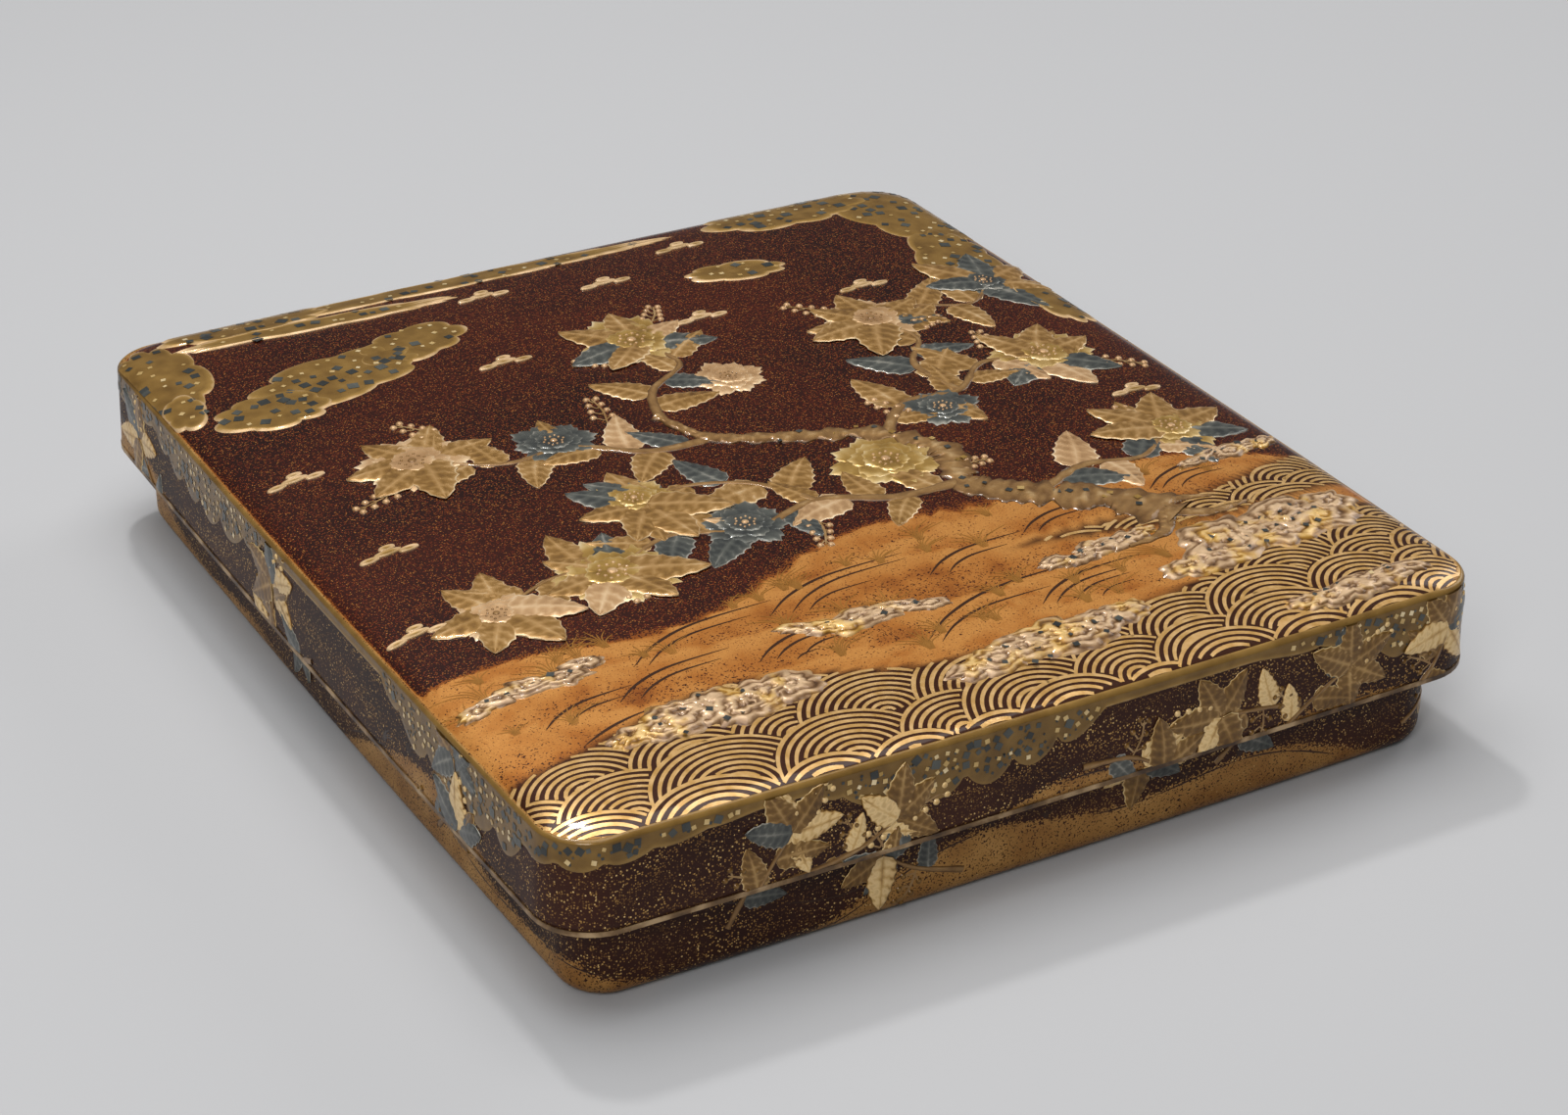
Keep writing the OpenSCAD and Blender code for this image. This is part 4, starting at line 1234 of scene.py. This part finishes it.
def leafy(stem_bm, leaf_bms, seat, points, wide, step, leaf_size, fan):
    """A branch through points, with leaves on both sides in turn and a fan at its tip."""
    path = curve(points)
    limb(stem_bm, seat, path, lambda u: wide[0] + (wide[1] - wide[0]) * u, 0.32, 0.35)
    walked, side = 0.0, 1
    for i in range(1, len(path)):
        walked += math.hypot(path[i][0] - path[i - 1][0], path[i][1] - path[i - 1][1])
        if walked > step:
            walked, side = 0.0, -side
            size = leaf_size * random.uniform(0.8, 1.1)
            angle = direction(path, i) + side * random.uniform(38, 68)
            blade(random.choice(leaf_bms), seat, path[i], angle, size, size * random.uniform(0.48, 0.6),
                  lift=0.02 * (i % 3), bend=0.12 * side)
    for k in range(fan):
        angle = direction(path, len(path) - 1) + (k - (fan - 1) / 2) * 300 / fan + random.uniform(-8, 8)
        size = leaf_size * random.uniform(0.95, 1.2)
        blade(random.choice(leaf_bms), seat, path[-1], angle, size, size * 0.6,
              lift=0.08 * k, bend=random.uniform(-0.12, 0.12))


def bud_spray(seat, x, y, angle, length, count, stems, buds, size=0.9):
    """A thin stem with round buds in pairs."""
    tip = turned((x, y), angle, length, 0)
    stroke(stems, seat, curve([(x, y), ((x + tip[0]) / 2 + 0.8, (y + tip[1]) / 2), tip], 5), 0.5, 0.12)
    for k in range(count):
        u = 0.3 + 0.7 * k / max(1, count - 1)
        node = (x + (tip[0] - x) * u, y + (tip[1] - y) * u)
        fork = (x + (tip[0] - x) * (u - 0.15), y + (tip[1] - y) * (u - 0.15))
        for side in (-1, 1):
            bud = turned(node, angle, 0, side * (2.6 - 1.5 * u))
            stroke(stems, seat, [fork, bud], 0.35, 0.1, 0)
            button(buds, seat, *bud, size)


# %% Where the shrub grows
TRUNK = [(61, -72), (53, -60), (42, -52), (30, -40), (33, -24), (24, -10), (6, -2), (-8, 6), (-13, 20)]
ROOTS = [
    [(60, -70), (68, -74), (78, -73)],
    [(59, -70), (54, -77), (44, -79)],
    [(60, -68), (64, -66), (72, -68)],
]
BRANCHES = [
    # points, widths at both ends
    ([(31, -38), (14, -38), (-2, -31), (-20, -36), (-36, -30), (-52, -38)], (3.6, 1.2)),
    ([(26, -12), (38, 0), (52, 0), (64, 10), (78, 8)], (3.2, 1.1)),
    ([(-6, 5), (-22, 6), (-36, 16), (-52, 16), (-66, 26)], (3.2, 1.1)),
    ([(-13, 18), (-8, 32), (4, 42), (0, 56)], (2.8, 1.1)),
    ([(52, 0), (50, 16), (58, 28), (54, 40)], (2.4, 0.9)),
    ([(-2, -31), (-10, -18), (-24, -12), (-34, -16)], (2.2, 0.9)),
    ([(42, -50), (56, -44), (70, -46), (82, -36)], (3.0, 1.0)),
    ([(54, 40), (66, 44), (80, 40), (90, 50)], (1.8, 0.8)),
    ([(-50, -37), (-64, -34), (-78, -40)], (1.6, 0.8)),
]
FLOWERS = [
    # x, y, radius, finish
    (-53, -38, 13.5, "gold"), (-20, -33, 9.5, "slate"), (80, 9, 12.5, "gold"), (44, -6, 9, "slate"),
    (-68, 27, 12, "pale"), (-38, 20, 9.5, "slate"), (0, 58, 13, "gold"), (54, 42, 11, "pale"),
    (20, -22, 12.5, "gold"), (84, -36, 11, "gold"), (-35, -12, 9, "gold"), (10, 30, 8.5, "pale"),
    (90, 51, 9, "slate"), (-80, -41, 9, "pale"),
]
BUD_SPRAYS = [
    # x, y, direction in degrees
    (-44, -46, 200), (-6, -38, 250), (70, 14, 80), (88, 2, -30), (-58, 34, 120),
    (-74, 18, 200), (8, 64, 60), (-8, 50, 160), (48, 48, 130), (60, 34, 10),
    (30, -32, 0), (76, -32, 70), (-24, 22, 80), (36, -8, 110),
]
print("branches:", len(BRANCHES), "flowers:", len(FLOWERS))

# %% The shrub on the lid
random.seed(23)
gold_bm, pale_bm, slate_bm, stem_bm, blossom_bm = (new_relief() for _ in range(5))
leaf_mix = [gold_bm] * 9 + [slate_bm] * 2 + [pale_bm]
trunk_path = curve(TRUNK)
limb(stem_bm, on_lid, trunk_path, lambda u: 10.5 * (1 - u) ** 1.3 + 3, 0.55, 0.8)
for root in ROOTS:
    limb(stem_bm, on_lid, curve(root), lambda u: 5 - 4 * u, 0.4, 0.6)
for points, wide in BRANCHES:
    leafy(stem_bm, leaf_mix, on_lid, points, wide, 6.2, 16, 6)
# Small squares of foil are set along all but the thin end of the trunk.
for x, y in trunk_path[4:-16:2]:
    square(random.choice([dark_squares, pale_squares]), on_lid,
           x + random.uniform(-2, 2), y + random.uniform(-2, 2),
           random.uniform(0.9, 1.5), random.uniform(0, 1.5), 0.62)
petal_sets = {"gold": blossom_bm, "slate": slate_bm, "pale": pale_bm}
for k, (x, y, radius, finish) in enumerate(FLOWERS):
    heart_bm = stem_bm if finish == "pale" else pale_bm
    flower(petal_sets[finish], heart_bm, on_lid, x, y, radius, 17 * k)
for x, y, angle in BUD_SPRAYS:
    bud_spray(on_lid, x, y, angle, random.uniform(9, 13), 4, stem_bm, pale_bm)

# %% The lid's leaves, flowers, stems, clouds and squares as pieces
for name, bm, finish, slot in [
        ("lid_gold_leaves", gold_bm, gold_finish, "gilt_rim"),
        ("lid_pale_leaves", pale_bm, rose_finish, "gilt_rim"),
        ("lid_gold_blossoms", blossom_bm, blossom_finish, "gilt_rim"),
        ("lid_silver_leaves", slate_bm, slate_finish, "silver"),
        ("lid_stems", stem_bm, bark_finish, "gilt_rim")]:
    close_ends(bm)
    mount(name, bm, finish, slot)
mount("lid_clouds", cloud_bm, cloud_finish, "gilt_rim")
mount("lid_silver_squares", dark_squares, slate_finish, "silver")
mount("lid_gold_squares", pale_squares, blossom_finish, "gilt_rim")

# %% [markdown]
# ## Lines and grass on the shore
#
# A few dark lines sweep up the slopes of the shore, and tufts of grass stand
# along the crests of its hills. They are drawn with the brush point, so each
# starts and ends thin.

# %% Dark lines on the slopes
SWEEP_SHAPE = [(0, 0), (0.2, 0.15), (0.5, 0.25), (1, 0.27)]
SWEEPS = [
    # start x and y, reach, number of lines
    (-93, -98, 46, 3), (-74, -83, 30, 2), (-44, -83, 24, 4), (-12, -92, 44, 2),
    (16, -90, 30, 4), (-34, -69, 38, 3), (2, -70, 24, 2), (-66, -73, 34, 2),
    (46, -69, 22, 4), (62, -60, 26, 3), (-90, -84, 20, 2), (28, -64, 22, 2),
]

random.seed(31)
ink_bm, grass_bm = new_relief(), new_relief()
for x, y, reach, lines in SWEEPS:
    for n in range(lines):
        length = reach * (1 - 0.24 * n) * random.uniform(0.85, 1.1)
        bx, by = x + (3.0 + random.uniform(-0.8, 1.5)) * n, y - 0.9 * n
        path = curve([(bx + p * length, by + q * length) for p, q in SWEEP_SHAPE], 7)
        dry = [p for p in path if gold_on_lid(*p) > 0.4 and water_depth(*p) < -0.3 and inside_plan(*p, 2)]
        if len(dry) > 8:
            stroke(ink_bm, on_lid, dry, 0.75 - 0.1 * n, 0.04, 0.9)
print("faces of dark lines:", len(ink_bm.faces))

# %% Tufts of grass
def tuft(bm, seat, x, y, count, size, lean):
    """A fan of curved blades of grass."""
    for k in range(count):
        spread = (k - (count - 1) / 2) / max(1, count - 1)
        reach = size * random.uniform(0.7, 1.1)
        tip = (x + reach * (spread * 1.7 + lean), y + reach * (1 - 0.6 * abs(spread)))
        knee = (x + 0.3 * (tip[0] - x), y + 0.62 * (tip[1] - y))
        stroke(bm, seat, curve([(x + 1.2 * spread, y), knee, tip], 5), 0.28, 0.05, 0.7)


for hill in HILLS:
    for x in range(-98, 100, 15):
        spot = (x + random.uniform(-6, 6), hill_line(x, hill) - random.uniform(0, 3))
        if gold_on_lid(*spot) > 0.6 and water_depth(*spot) < -3:
            tuft(grass_bm, on_lid, *spot,
                 random.randint(6, 10), random.uniform(5, 9), random.uniform(-0.5, 0.5))
for name, bm, finish in [("lid_shore_lines", ink_bm, ink_finish), ("lid_grass", grass_bm, grass_finish)]:
    close_ends(bm)
    mount(name, bm, finish, "lid_top_lacquer")

# %% [markdown]
# ## The picture on the walls
#
# A band of cloud hangs from the edge of the lid all round, and sprays of leaves
# run over the seam from the box up on to the lid. A lacquer artist paints them
# with the box closed, so both halves match. Here the same spray is built twice,
# once on each wall, and each copy is cut off at the seam.

# %% The cloud band under the edge
def band_depth(s):
    """How far the cloud hangs below the edge, in millimetres, once round the lid without a step."""
    a = 2 * math.pi * s / lid_round
    swell = 9.5 * max(0.0, math.sin(7 * a + 2.6)) ** 0.55 + 4.5 * max(0.0, math.sin(4 * a - 1.3))
    scallop = abs(math.sin(37 * a + 0.9 * math.sin(9 * a))) ** 0.6
    return 2.0 + min(10.5, swell) * (0.5 + 0.5 * scallop)


def band_place(u, v):
    """The band, from the edge of the lid down to its own scallops."""
    s = lid_round * (0.5 - u)
    depth = band_depth(s)
    border = ridge((1 - v) * depth - 0.35, 0.45)
    rise = SUNK if v > 0.99 else 0.12 + 0.12 * border
    crest = 0.36 + 0.34 * border + 0.12 * noise.noise(Vector((s * 0.4, depth * v * 0.4, 2)))
    return on_lid_wall(s, EDGE_Z / MM - 0.25 - v * depth, rise), crest


# %% The strip of gold over the edge
EDGE_PROFILE = [
    # distance in from the wall, or None on the wall itself; drop below the edge; lift
    (1.15, 0, -0.03), (0.95, 0, 0.08), (0.7, 0, 0.08), (0.45, 0, 0.09),
    (None, 0.04, 0.02), (None, 0.35, 0.12), (None, 0.6, 0.1),
]


def edge_place(u, v):
    """The strip, from just inside the crown down to the wall, broad in front and narrow elsewhere."""
    s = lid_round * (0.5 - u)
    inset, drop, lift = EDGE_PROFILE[round(v * (len(EDGE_PROFILE) - 1))]
    tone = 0.46 + 0.12 * noise.noise(Vector((s * 0.1, v, 4)))
    if inset is None:
        return on_lid_wall(s, EDGE_Z / MM - drop, lift), tone
    front = held((HALF_WIDTH + 6 - abs(s)) / 14)
    inset = 0.45 + (inset - 0.45) * (0.2 + 0.8 * front)
    inner = on_lid_wall(s, EDGE_Z / MM, -inset) / MM
    return on_lid(inner.x, inner.y, lift), tone


# %% The band with its squares and crumbs of foil
BAND_COLUMNS = 880
SQUARE_STEP = 2.3
CRUMBS = 1500

random.seed(41)
band_bm, wall_dark, wall_pale = new_relief(), new_relief(), new_relief()
patch(band_bm, BAND_COLUMNS, 8, band_place)
patch(band_bm, BAND_COLUMNS, len(EDGE_PROFILE) - 1, edge_place)
for i in range(int(lid_round / SQUARE_STEP)):
    for j in range(5):
        s = i * SQUARE_STEP + random.uniform(-0.6, 0.6)
        drop = 1.5 + j * 2.1 + random.uniform(-0.5, 0.5)
        if drop < band_depth(s) - 1.1 and random.random() < 0.85:
            dark = random.random() < 0.5 + 0.3 * math.sin(s / 17)
            width = random.uniform(0.8, 1.9) if dark else random.uniform(0.7, 1.1)
            square(wall_dark if dark else wall_pale, on_lid_wall, s, EDGE_Z / MM - drop, width,
                   random.uniform(0, QUARTER_TURN), 0.21, DARK_TONE if dark else PALE_TONE)
for _ in range(CRUMBS):
    s, drop = random.uniform(-lid_round / 2, lid_round / 2), random.uniform(1.2, 9)
    if drop < band_depth(s) - 0.9:
        square(wall_dark, on_lid_wall, s, EDGE_Z / MM - drop, random.uniform(0.4, 0.65),
               random.uniform(0, QUARTER_TURN), 0.2)
close_ends(band_bm)
print("squares on the walls:", len(wall_dark.faces) + len(wall_pale.faces))

# %% Sprays of leaves over the seam, hill lines and grass
SPRAYS = [
    # way round the wall from the middle of the front, height, direction, length, number of leaves
    (-72, 9, 62, 30, 5), (-58, 20, 20, 24, 4), (-18, 6, 150, 22, 3), (6, 25, -20, 20, 3),
    (44, 12, 40, 34, 6), (58, 24, 170, 20, 3), (84, 16, 60, 22, 4), (94, 7, 20, 18, 3),
    (150, 10, 120, 28, 5), (186, 18, 30, 26, 4), (246, 8, 70, 26, 5), (292, 14, 150, 30, 5),
    (372, 10, 50, 30, 5), (430, 20, 160, 26, 4), (486, 8, 100, 24, 4), (-140, 14, 100, 28, 5),
    (-163, 8, 40, 26, 4), (-214, 22, 200, 24, 4), (-240, 8, 80, 28, 5), (-300, 12, 130, 26, 4),
]
TUFTS = 70
# The hills of the lid's wall start at its lip, and those of the box lower down and further round.
WALL_HILLS = [(LIP_Z / MM, 0), (BOX_HILL_LEVEL, BOX_HILL_SHIFT)]


def wall_picture(seat, stretch):
    """The whole wall picture on one seat, as sets of gold, pale, silver, stem and grass patches."""
    sets = {name: new_relief() for name in ("gold", "pale", "silver", "stem", "grass")}
    random.seed(53)
    mix = [sets["gold"]] * 5 + [sets["pale"]] * 2 + [sets["silver"]] * 2

    def placed(s, z, lift):
        return seat(s * stretch, z, lift)

    for s, z, angle, length, leaves in SPRAYS:
        turn = math.radians(angle)
        tip = (s + length * math.cos(turn), z + 0.8 * length * math.sin(turn))
        middle = ((s + tip[0]) / 2 + random.uniform(-3, 3), (z + tip[1]) / 2 + random.uniform(-2, 2))
        leafy(sets["stem"], mix, placed, [(s, z), middle, tip], (1.5, 0.7), length / leaves, 10.5, 5)
        bud_spray(placed, *tip, angle + random.uniform(-60, 60), 11, 4, sets["stem"], sets["pale"], 0.75)
        bud_spray(placed, *middle, angle + 90, 8, 3, sets["stem"], sets["gold"], 0.7)
    for k in range(TUFTS):
        s = -lid_round / 2 + k * lid_round / TUFTS + random.uniform(-4, 4)
        for level, shift in WALL_HILLS:
            crest = side_crest(s + shift)
            if crest > 0.5 and random.random() < 0.6:
                tuft(sets["grass"], placed, s, level + crest - 0.5,
                     random.randint(3, 6), random.uniform(2, 4.5), random.uniform(-0.6, 0.6))
            path = [(s + t, level + side_crest(s + t + shift) - 1.2) for t in range(0, 15, 2)]
            if random.random() < 0.5:
                stroke(sets["grass"], placed, path, 0.4, 0.05, 0.85)
    return sets


# %% Both halves of the wall picture, cut off at the seam
def cut_to(bm, low, high):
    """Keeps what lies between two heights."""
    for height, way in ((low, -1), (high, 1)):
        bmesh.ops.bisect_plane(bm, geom=list(bm.verts) + list(bm.edges) + list(bm.faces), dist=1e-7,
                               plane_co=(0, 0, height), plane_no=(0, 0, way), clear_outer=True)


WALL_FINISHES = {
    "gold": (wall_gold_finish, "gilt_rim"),
    "pale": (pale_finish, "gilt_rim"),
    "silver": (slate_finish, "silver"),
    "stem": (bark_finish, "gilt_rim"),
    "grass": (ink_finish, "box_lacquer"),
}
HALVES = [
    # body, seat, stretch of the way round, lowest and highest point of the picture
    ("lid", on_lid_wall, 1.0, LIP_Z + 0.1 * MM, EDGE_Z - 0.4 * MM),
    ("box", on_box_wall, box_round / lid_round, 0.8 * MM, MOUTH_Z - 0.3 * MM),
]
for body, seat, stretch, low, high in HALVES:
    for name, bm in wall_picture(seat, stretch).items():
        cut_to(bm, low, high)
        close_ends(bm)
        mount("%s_wall_%s" % (body, name), bm, *WALL_FINISHES[name], body)
mount("lid_wall_cloud", band_bm, cloud_finish, "gilt_rim")
mount("lid_wall_dark_squares", wall_dark, slate_finish, "silver")
mount("lid_wall_pale_squares", wall_pale, blossom_finish, "gilt_rim")

# %% [markdown]
# ## Metals
#
# The lid's mouth has a rim of gold lacquer, worn pale by hands, and the box's
# mouth a strip of pewter that has gone grey. The dropper, the blades and the
# bands of the tools are metal too. Wear is soft noise that moves both colour and
# roughness.

# %% Worn metals
def worn_metal(name, stops, metal, rough, size_mm, bump_mm=0.03):
    """A metal whose colour and polish change with handling."""
    material = new_material(name)
    wear = cloudy(material, size_mm, 5)
    polish = add(material, "ShaderNodeMapRange", {
        "Value": wear, "To Min": rough - 0.1, "To Max": rough + 0.14})
    relief = add(material, "ShaderNodeBump", {
        "Height": cloudy(material, size_mm / 4, 6), "Strength": 0.25, "Distance": bump_mm * MM})
    add(material, "ShaderNodeOutputMaterial", {
        "Surface": add(material, "ShaderNodeBsdfPrincipled", {
            "Base Color": add(material, "ShaderNodeValToRGB", {0: wear}, stops=stops),
            "Metallic": metal, "Roughness": polish, "Normal": relief})})
    return material


# Gold lacquer rubbed by hands: soft pale gold, brown where it is thin.
rim_gold = worn_metal("worn_gold_lacquer_rim", [
    (0.36, "#412d1c"), (0.5, "#775b3a"), (0.64, "#b39670")], 0.3, 0.42, 6)
# Old pewter: a warm grey with hardly any mirror.
rim_pewter = worn_metal("grey_pewter", [
    (0.3, "#4e4c49"), (0.5, "#706d69"), (0.7, "#908c86")], 0.85, 0.42, 6)
# Burnished gold: a clear yellow line round each seat.
moulding_gold = worn_metal("burnished_gold_moulding", [
    (0.3, "#7c5a28"), (0.5, "#a8803c"), (0.7, "#cba560")], 0.6, 0.34, 5)
# Tarnished silver: bright, with soft clouds of grey.
silver = worn_metal("tarnished_silver", [
    (0.3, "#5d5a56"), (0.5, "#9a9791"), (0.68, "#c9c6be")], 1.0, 0.3, 7, 0.06)
# Ground steel: a cool, even grey.
steel = worn_metal("ground_tool_steel", [
    (0.3, "#5c5e60"), (0.5, "#83868a"), (0.7, "#a6a9ac")], 1.0, 0.28, 3)
# Old brass: a brown yellow, brighter in soft spots.
brass = worn_metal("old_brass_band", [
    (0.3, "#6b5326"), (0.5, "#94743a"), (0.7, "#b5945a")], 1.0, 0.34, 4)
print("materials so far:", len(bpy.data.materials))

# %% Metal for the pieces that are metal
def finish_nodes(material, *starts):
    """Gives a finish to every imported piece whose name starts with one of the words."""
    for name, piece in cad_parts.items():
        if name.startswith(starts):
            piece.data.materials.clear()
            piece.data.materials.append(material)


finish_nodes(rim_gold, "lid_mouth_rim")
finish_nodes(rim_pewter, "box_mouth_rim")
finish_nodes(moulding_gold, "stone_seat_moulding", "dropper_seat_moulding")
finish_nodes(silver, "dropper_")
finish_nodes(steel, "knife_blade", "awl_point")
finish_nodes(brass, "holder_band", "holder_ring")

# %% [markdown]
# ## Trays with gilded edges
#
# The trays have the same sprinkled ground as the lining. Their top edges are
# dusted with gold, which shows each wall as a thin bright line from above. The
# line is wherever the surface lies within half a millimetre of the tray's rim.

# %% Tray lacquer
tray_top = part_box("left_tray_outer_side")[1].z
tray_gilded = plain_nashiji(
    "nashiji_trays_gilded_rims", [(0.35, "#32130a"), (0.65, "#441c0f")],
    [(0.0, "#5e2f14"), (0.6, "#96592a"), (0.9, "#c38c4c"), (1.0, "#e6c080")], 0.5, 0.1, 0.38, tray_top)
finish_nodes(tray_gilded, "left_tray_", "right_tray_")
finish_nodes(tray_finish, "stone_board", "tray_ledge_", "brush_rest_")
print("trays' rim at %.1f mm" % (tray_top / MM))

# %% [markdown]
# ## Inkstone
#
# The stone is grey slate, honed so that it bites the ink stick. Dried ink stays
# in the well and fades out up the slope, darker and a little glossy, and the
# ground edges stay pale.

# %% Honed slate with dried ink
def inkstone_slate(top):
    """Matt blue-grey stone with darker veins, stained black below its top, with a soft border."""
    material = new_material("honed_slate_with_ink")
    where = add(material, "ShaderNodeTexCoord", {}, out="Object")
    height = add(material, "ShaderNodeSeparateXYZ", {0: where}, out="Z")
    speckle = cloudy(material, 1.2, 6)
    drawn = add(material, "ShaderNodeMapping", {"Vector": where, "Scale": (1, 0.2, 3)})
    veins = add(material, "ShaderNodeTexNoise", {
        "Vector": drawn, "Scale": 1 / (9 * MM), "Detail": 6.0}, out="Fac")
    streak = add(material, "ShaderNodeMath", {0: speckle, 1: veins}, operation="MULTIPLY")
    grey = add(material, "ShaderNodeValToRGB", {0: streak}, stops=[
        (0.15, "#232527"), (0.3, "#33363a"), (0.45, "#474b50")])
    level = add(material, "ShaderNodeMath", {0: cloudy(material, 14, 4), 1: 4 * MM, 2: height},
                operation="MULTIPLY_ADD")
    stain = add(material, "ShaderNodeMapRange", {
        "Value": level, "From Min": top + 1.2 * MM, "From Max": top - 1.6 * MM})
    colour = add(material, "ShaderNodeMix", {SHARE: stain, UNDER: grey, OVER: linear("#0b0b0c")},
                 out=MIXED, data_type="RGBA")
    polish = add(material, "ShaderNodeMapRange", {"Value": stain, "To Min": 0.62, "To Max": 0.36})
    relief = add(material, "ShaderNodeBump", {"Height": speckle, "Strength": 0.3, "Distance": 0.05 * MM})
    add(material, "ShaderNodeOutputMaterial", {
        "Surface": add(material, "ShaderNodeBsdfPrincipled", {
            "Base Color": colour, "Roughness": polish, "Normal": relief})})
    return material


stone_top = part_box("inkstone")[1].z
finish_nodes(inkstone_slate(stone_top), "inkstone")
print("inkstone's top at %.1f mm" % (stone_top / MM))

# %% [markdown]
# ## Brushes, ink stick and tools
#
# Fibre and grain run along the tools, which lie along Y. Each of these finishes
# stretches its noise in that direction: bamboo fibre finely, rosewood in broad
# bands, and hair as single strands.

# %% Finishes with a grain along the tool
def fibrous(name, stops, width_mm, length_mm, rough, coat=0.0, strength=0.3):
    """A finish with a grain of the given width and length along Y."""
    material = new_material(name)
    where = add(material, "ShaderNodeTexCoord", {}, out="Object")
    drawn = add(material, "ShaderNodeMapping", {"Vector": where, "Scale": (1, width_mm / length_mm, 1)})
    lines = add(material, "ShaderNodeTexNoise", {
        "Vector": drawn, "Scale": 1 / (width_mm * MM), "Detail": 4.0}, out="Fac")
    relief = add(material, "ShaderNodeBump", {"Height": lines, "Strength": strength, "Distance": 0.1 * MM})
    add(material, "ShaderNodeOutputMaterial", {
        "Surface": add(material, "ShaderNodeBsdfPrincipled", {
            "Base Color": add(material, "ShaderNodeValToRGB", {0: lines}, stops=stops),
            "Roughness": rough, "Coat Weight": coat, "Normal": relief})})
    return material


# Smoked bamboo: honey brown with a fine fibre and a little shine.
bamboo = fibrous("smoked_bamboo", [
    (0.3, "#7a4c22"), (0.5, "#a8743a"), (0.7, "#c99a5c")], 0.5, 18, 0.42, 0.3, 0.2)
# Raw bamboo: straw yellow, lighter than the handles.
cap_bamboo = fibrous("pale_bamboo_cap", [
    (0.3, "#9a7440"), (0.5, "#c2a068"), (0.7, "#dcc08c")], 0.5, 18, 0.45, 0.2, 0.2)
# Goat hair: cream strands with dark gaps, and no shine.
hair = fibrous("brush_hair", [
    (0.3, "#6a5238"), (0.5, "#b09876"), (0.7, "#e4d6bc")], 0.16, 12, 0.75, 0.0, 0.8)
# Oiled rosewood: dark red brown in broad bands.
rosewood = fibrous("oiled_rosewood", [
    (0.3, "#25100a"), (0.5, "#3f1c11"), (0.7, "#5c2e1c")], 1.2, 30, 0.4, 0.3)
# Pressed soot: a dense black with a dull skin.
ink_black = fibrous("pressed_soot_ink", [
    (0.3, "#0d0d0f"), (0.5, "#18181a"), (0.7, "#26262a")], 1.5, 3, 0.55, 0.0, 0.25)
finish_nodes(bamboo, "brush_1_handle", "brush_2_handle")
finish_nodes(cap_bamboo, "brush_1_cap", "brush_2_cap")
finish_nodes(hair, "brush_1_hair", "brush_2_hair")
finish_nodes(rosewood, "holder_jaw_", "knife_grip", "knife_sheath", "awl_grip")
finish_nodes(ink_black, "ink_stick")

# %% Gilding on the ink stick
def seat_over(node):
    """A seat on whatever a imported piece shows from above."""
    surface = surface_of(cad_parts[node].data)

    def seat(x, y, lift):
        spot = surface.ray_cast(Vector((x * MM, y * MM, ABOVE)), DOWN)[0]
        return spot + Vector((0, 0, lift * MM))

    return seat


def plan_of(node):
    """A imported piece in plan, in millimetres: the middle's x and y, and half its width and length."""
    low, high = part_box(node)
    return ((low.x + high.x) / 2 / MM, (low.y + high.y) / 2 / MM,
            (high.x - low.x) / 2 / MM, (high.y - low.y) / 2 / MM)


ink_x, ink_y, ink_a, ink_b = plan_of("ink_stick")
on_ink = seat_over("ink_stick")
gilt_bm = new_relief()
border = [(ink_x + (ink_a - 4.2) * p, ink_y + (ink_b - 5.7) * q)
          for p, q in ((-1, -1), (1, -1), (1, 1), (-1, 1), (-1, -1))]
for start, end in zip(border, border[1:]):
    stroke(gilt_bm, on_ink, [start, end], 0.5, 0.03, 0)
cloud(gilt_bm, on_ink, (ink_x, ink_y + 22), (4.2, 2.6), 5, 20, 0.4, lift=-0.15, sides=40)
cloud(gilt_bm, on_ink, (ink_x, ink_y - 22), (4.2, 2.6), 5, -20, 1.1, lift=-0.15, sides=40)
flower(gilt_bm, gilt_bm, on_ink, ink_x, ink_y, 4.4)
close_ends(gilt_bm)
mount("ink_stick_gilding", gilt_bm, gold_finish, "gilt_rim", "ink_stick")

# %% A rosette on the water dropper
cover_x, cover_y, _, _ = plan_of("dropper_cover")
on_cover = seat_over("dropper_cover")
rosette_bm = new_relief()
for angle in range(0, 360, 30):
    petal(rosette_bm, on_cover, turned((cover_x, cover_y), angle, 2.2, 0), angle, 5.6, 3.6, 0.0, 0.35)
close_ends(rosette_bm)
mount("dropper_rosette", rosette_bm, silver, "silver", "water_dropper")

bare = [name for name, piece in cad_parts.items()
        if piece.data.materials and not piece.data.materials[0].node_tree]
print("pieces without a finish:", bare)
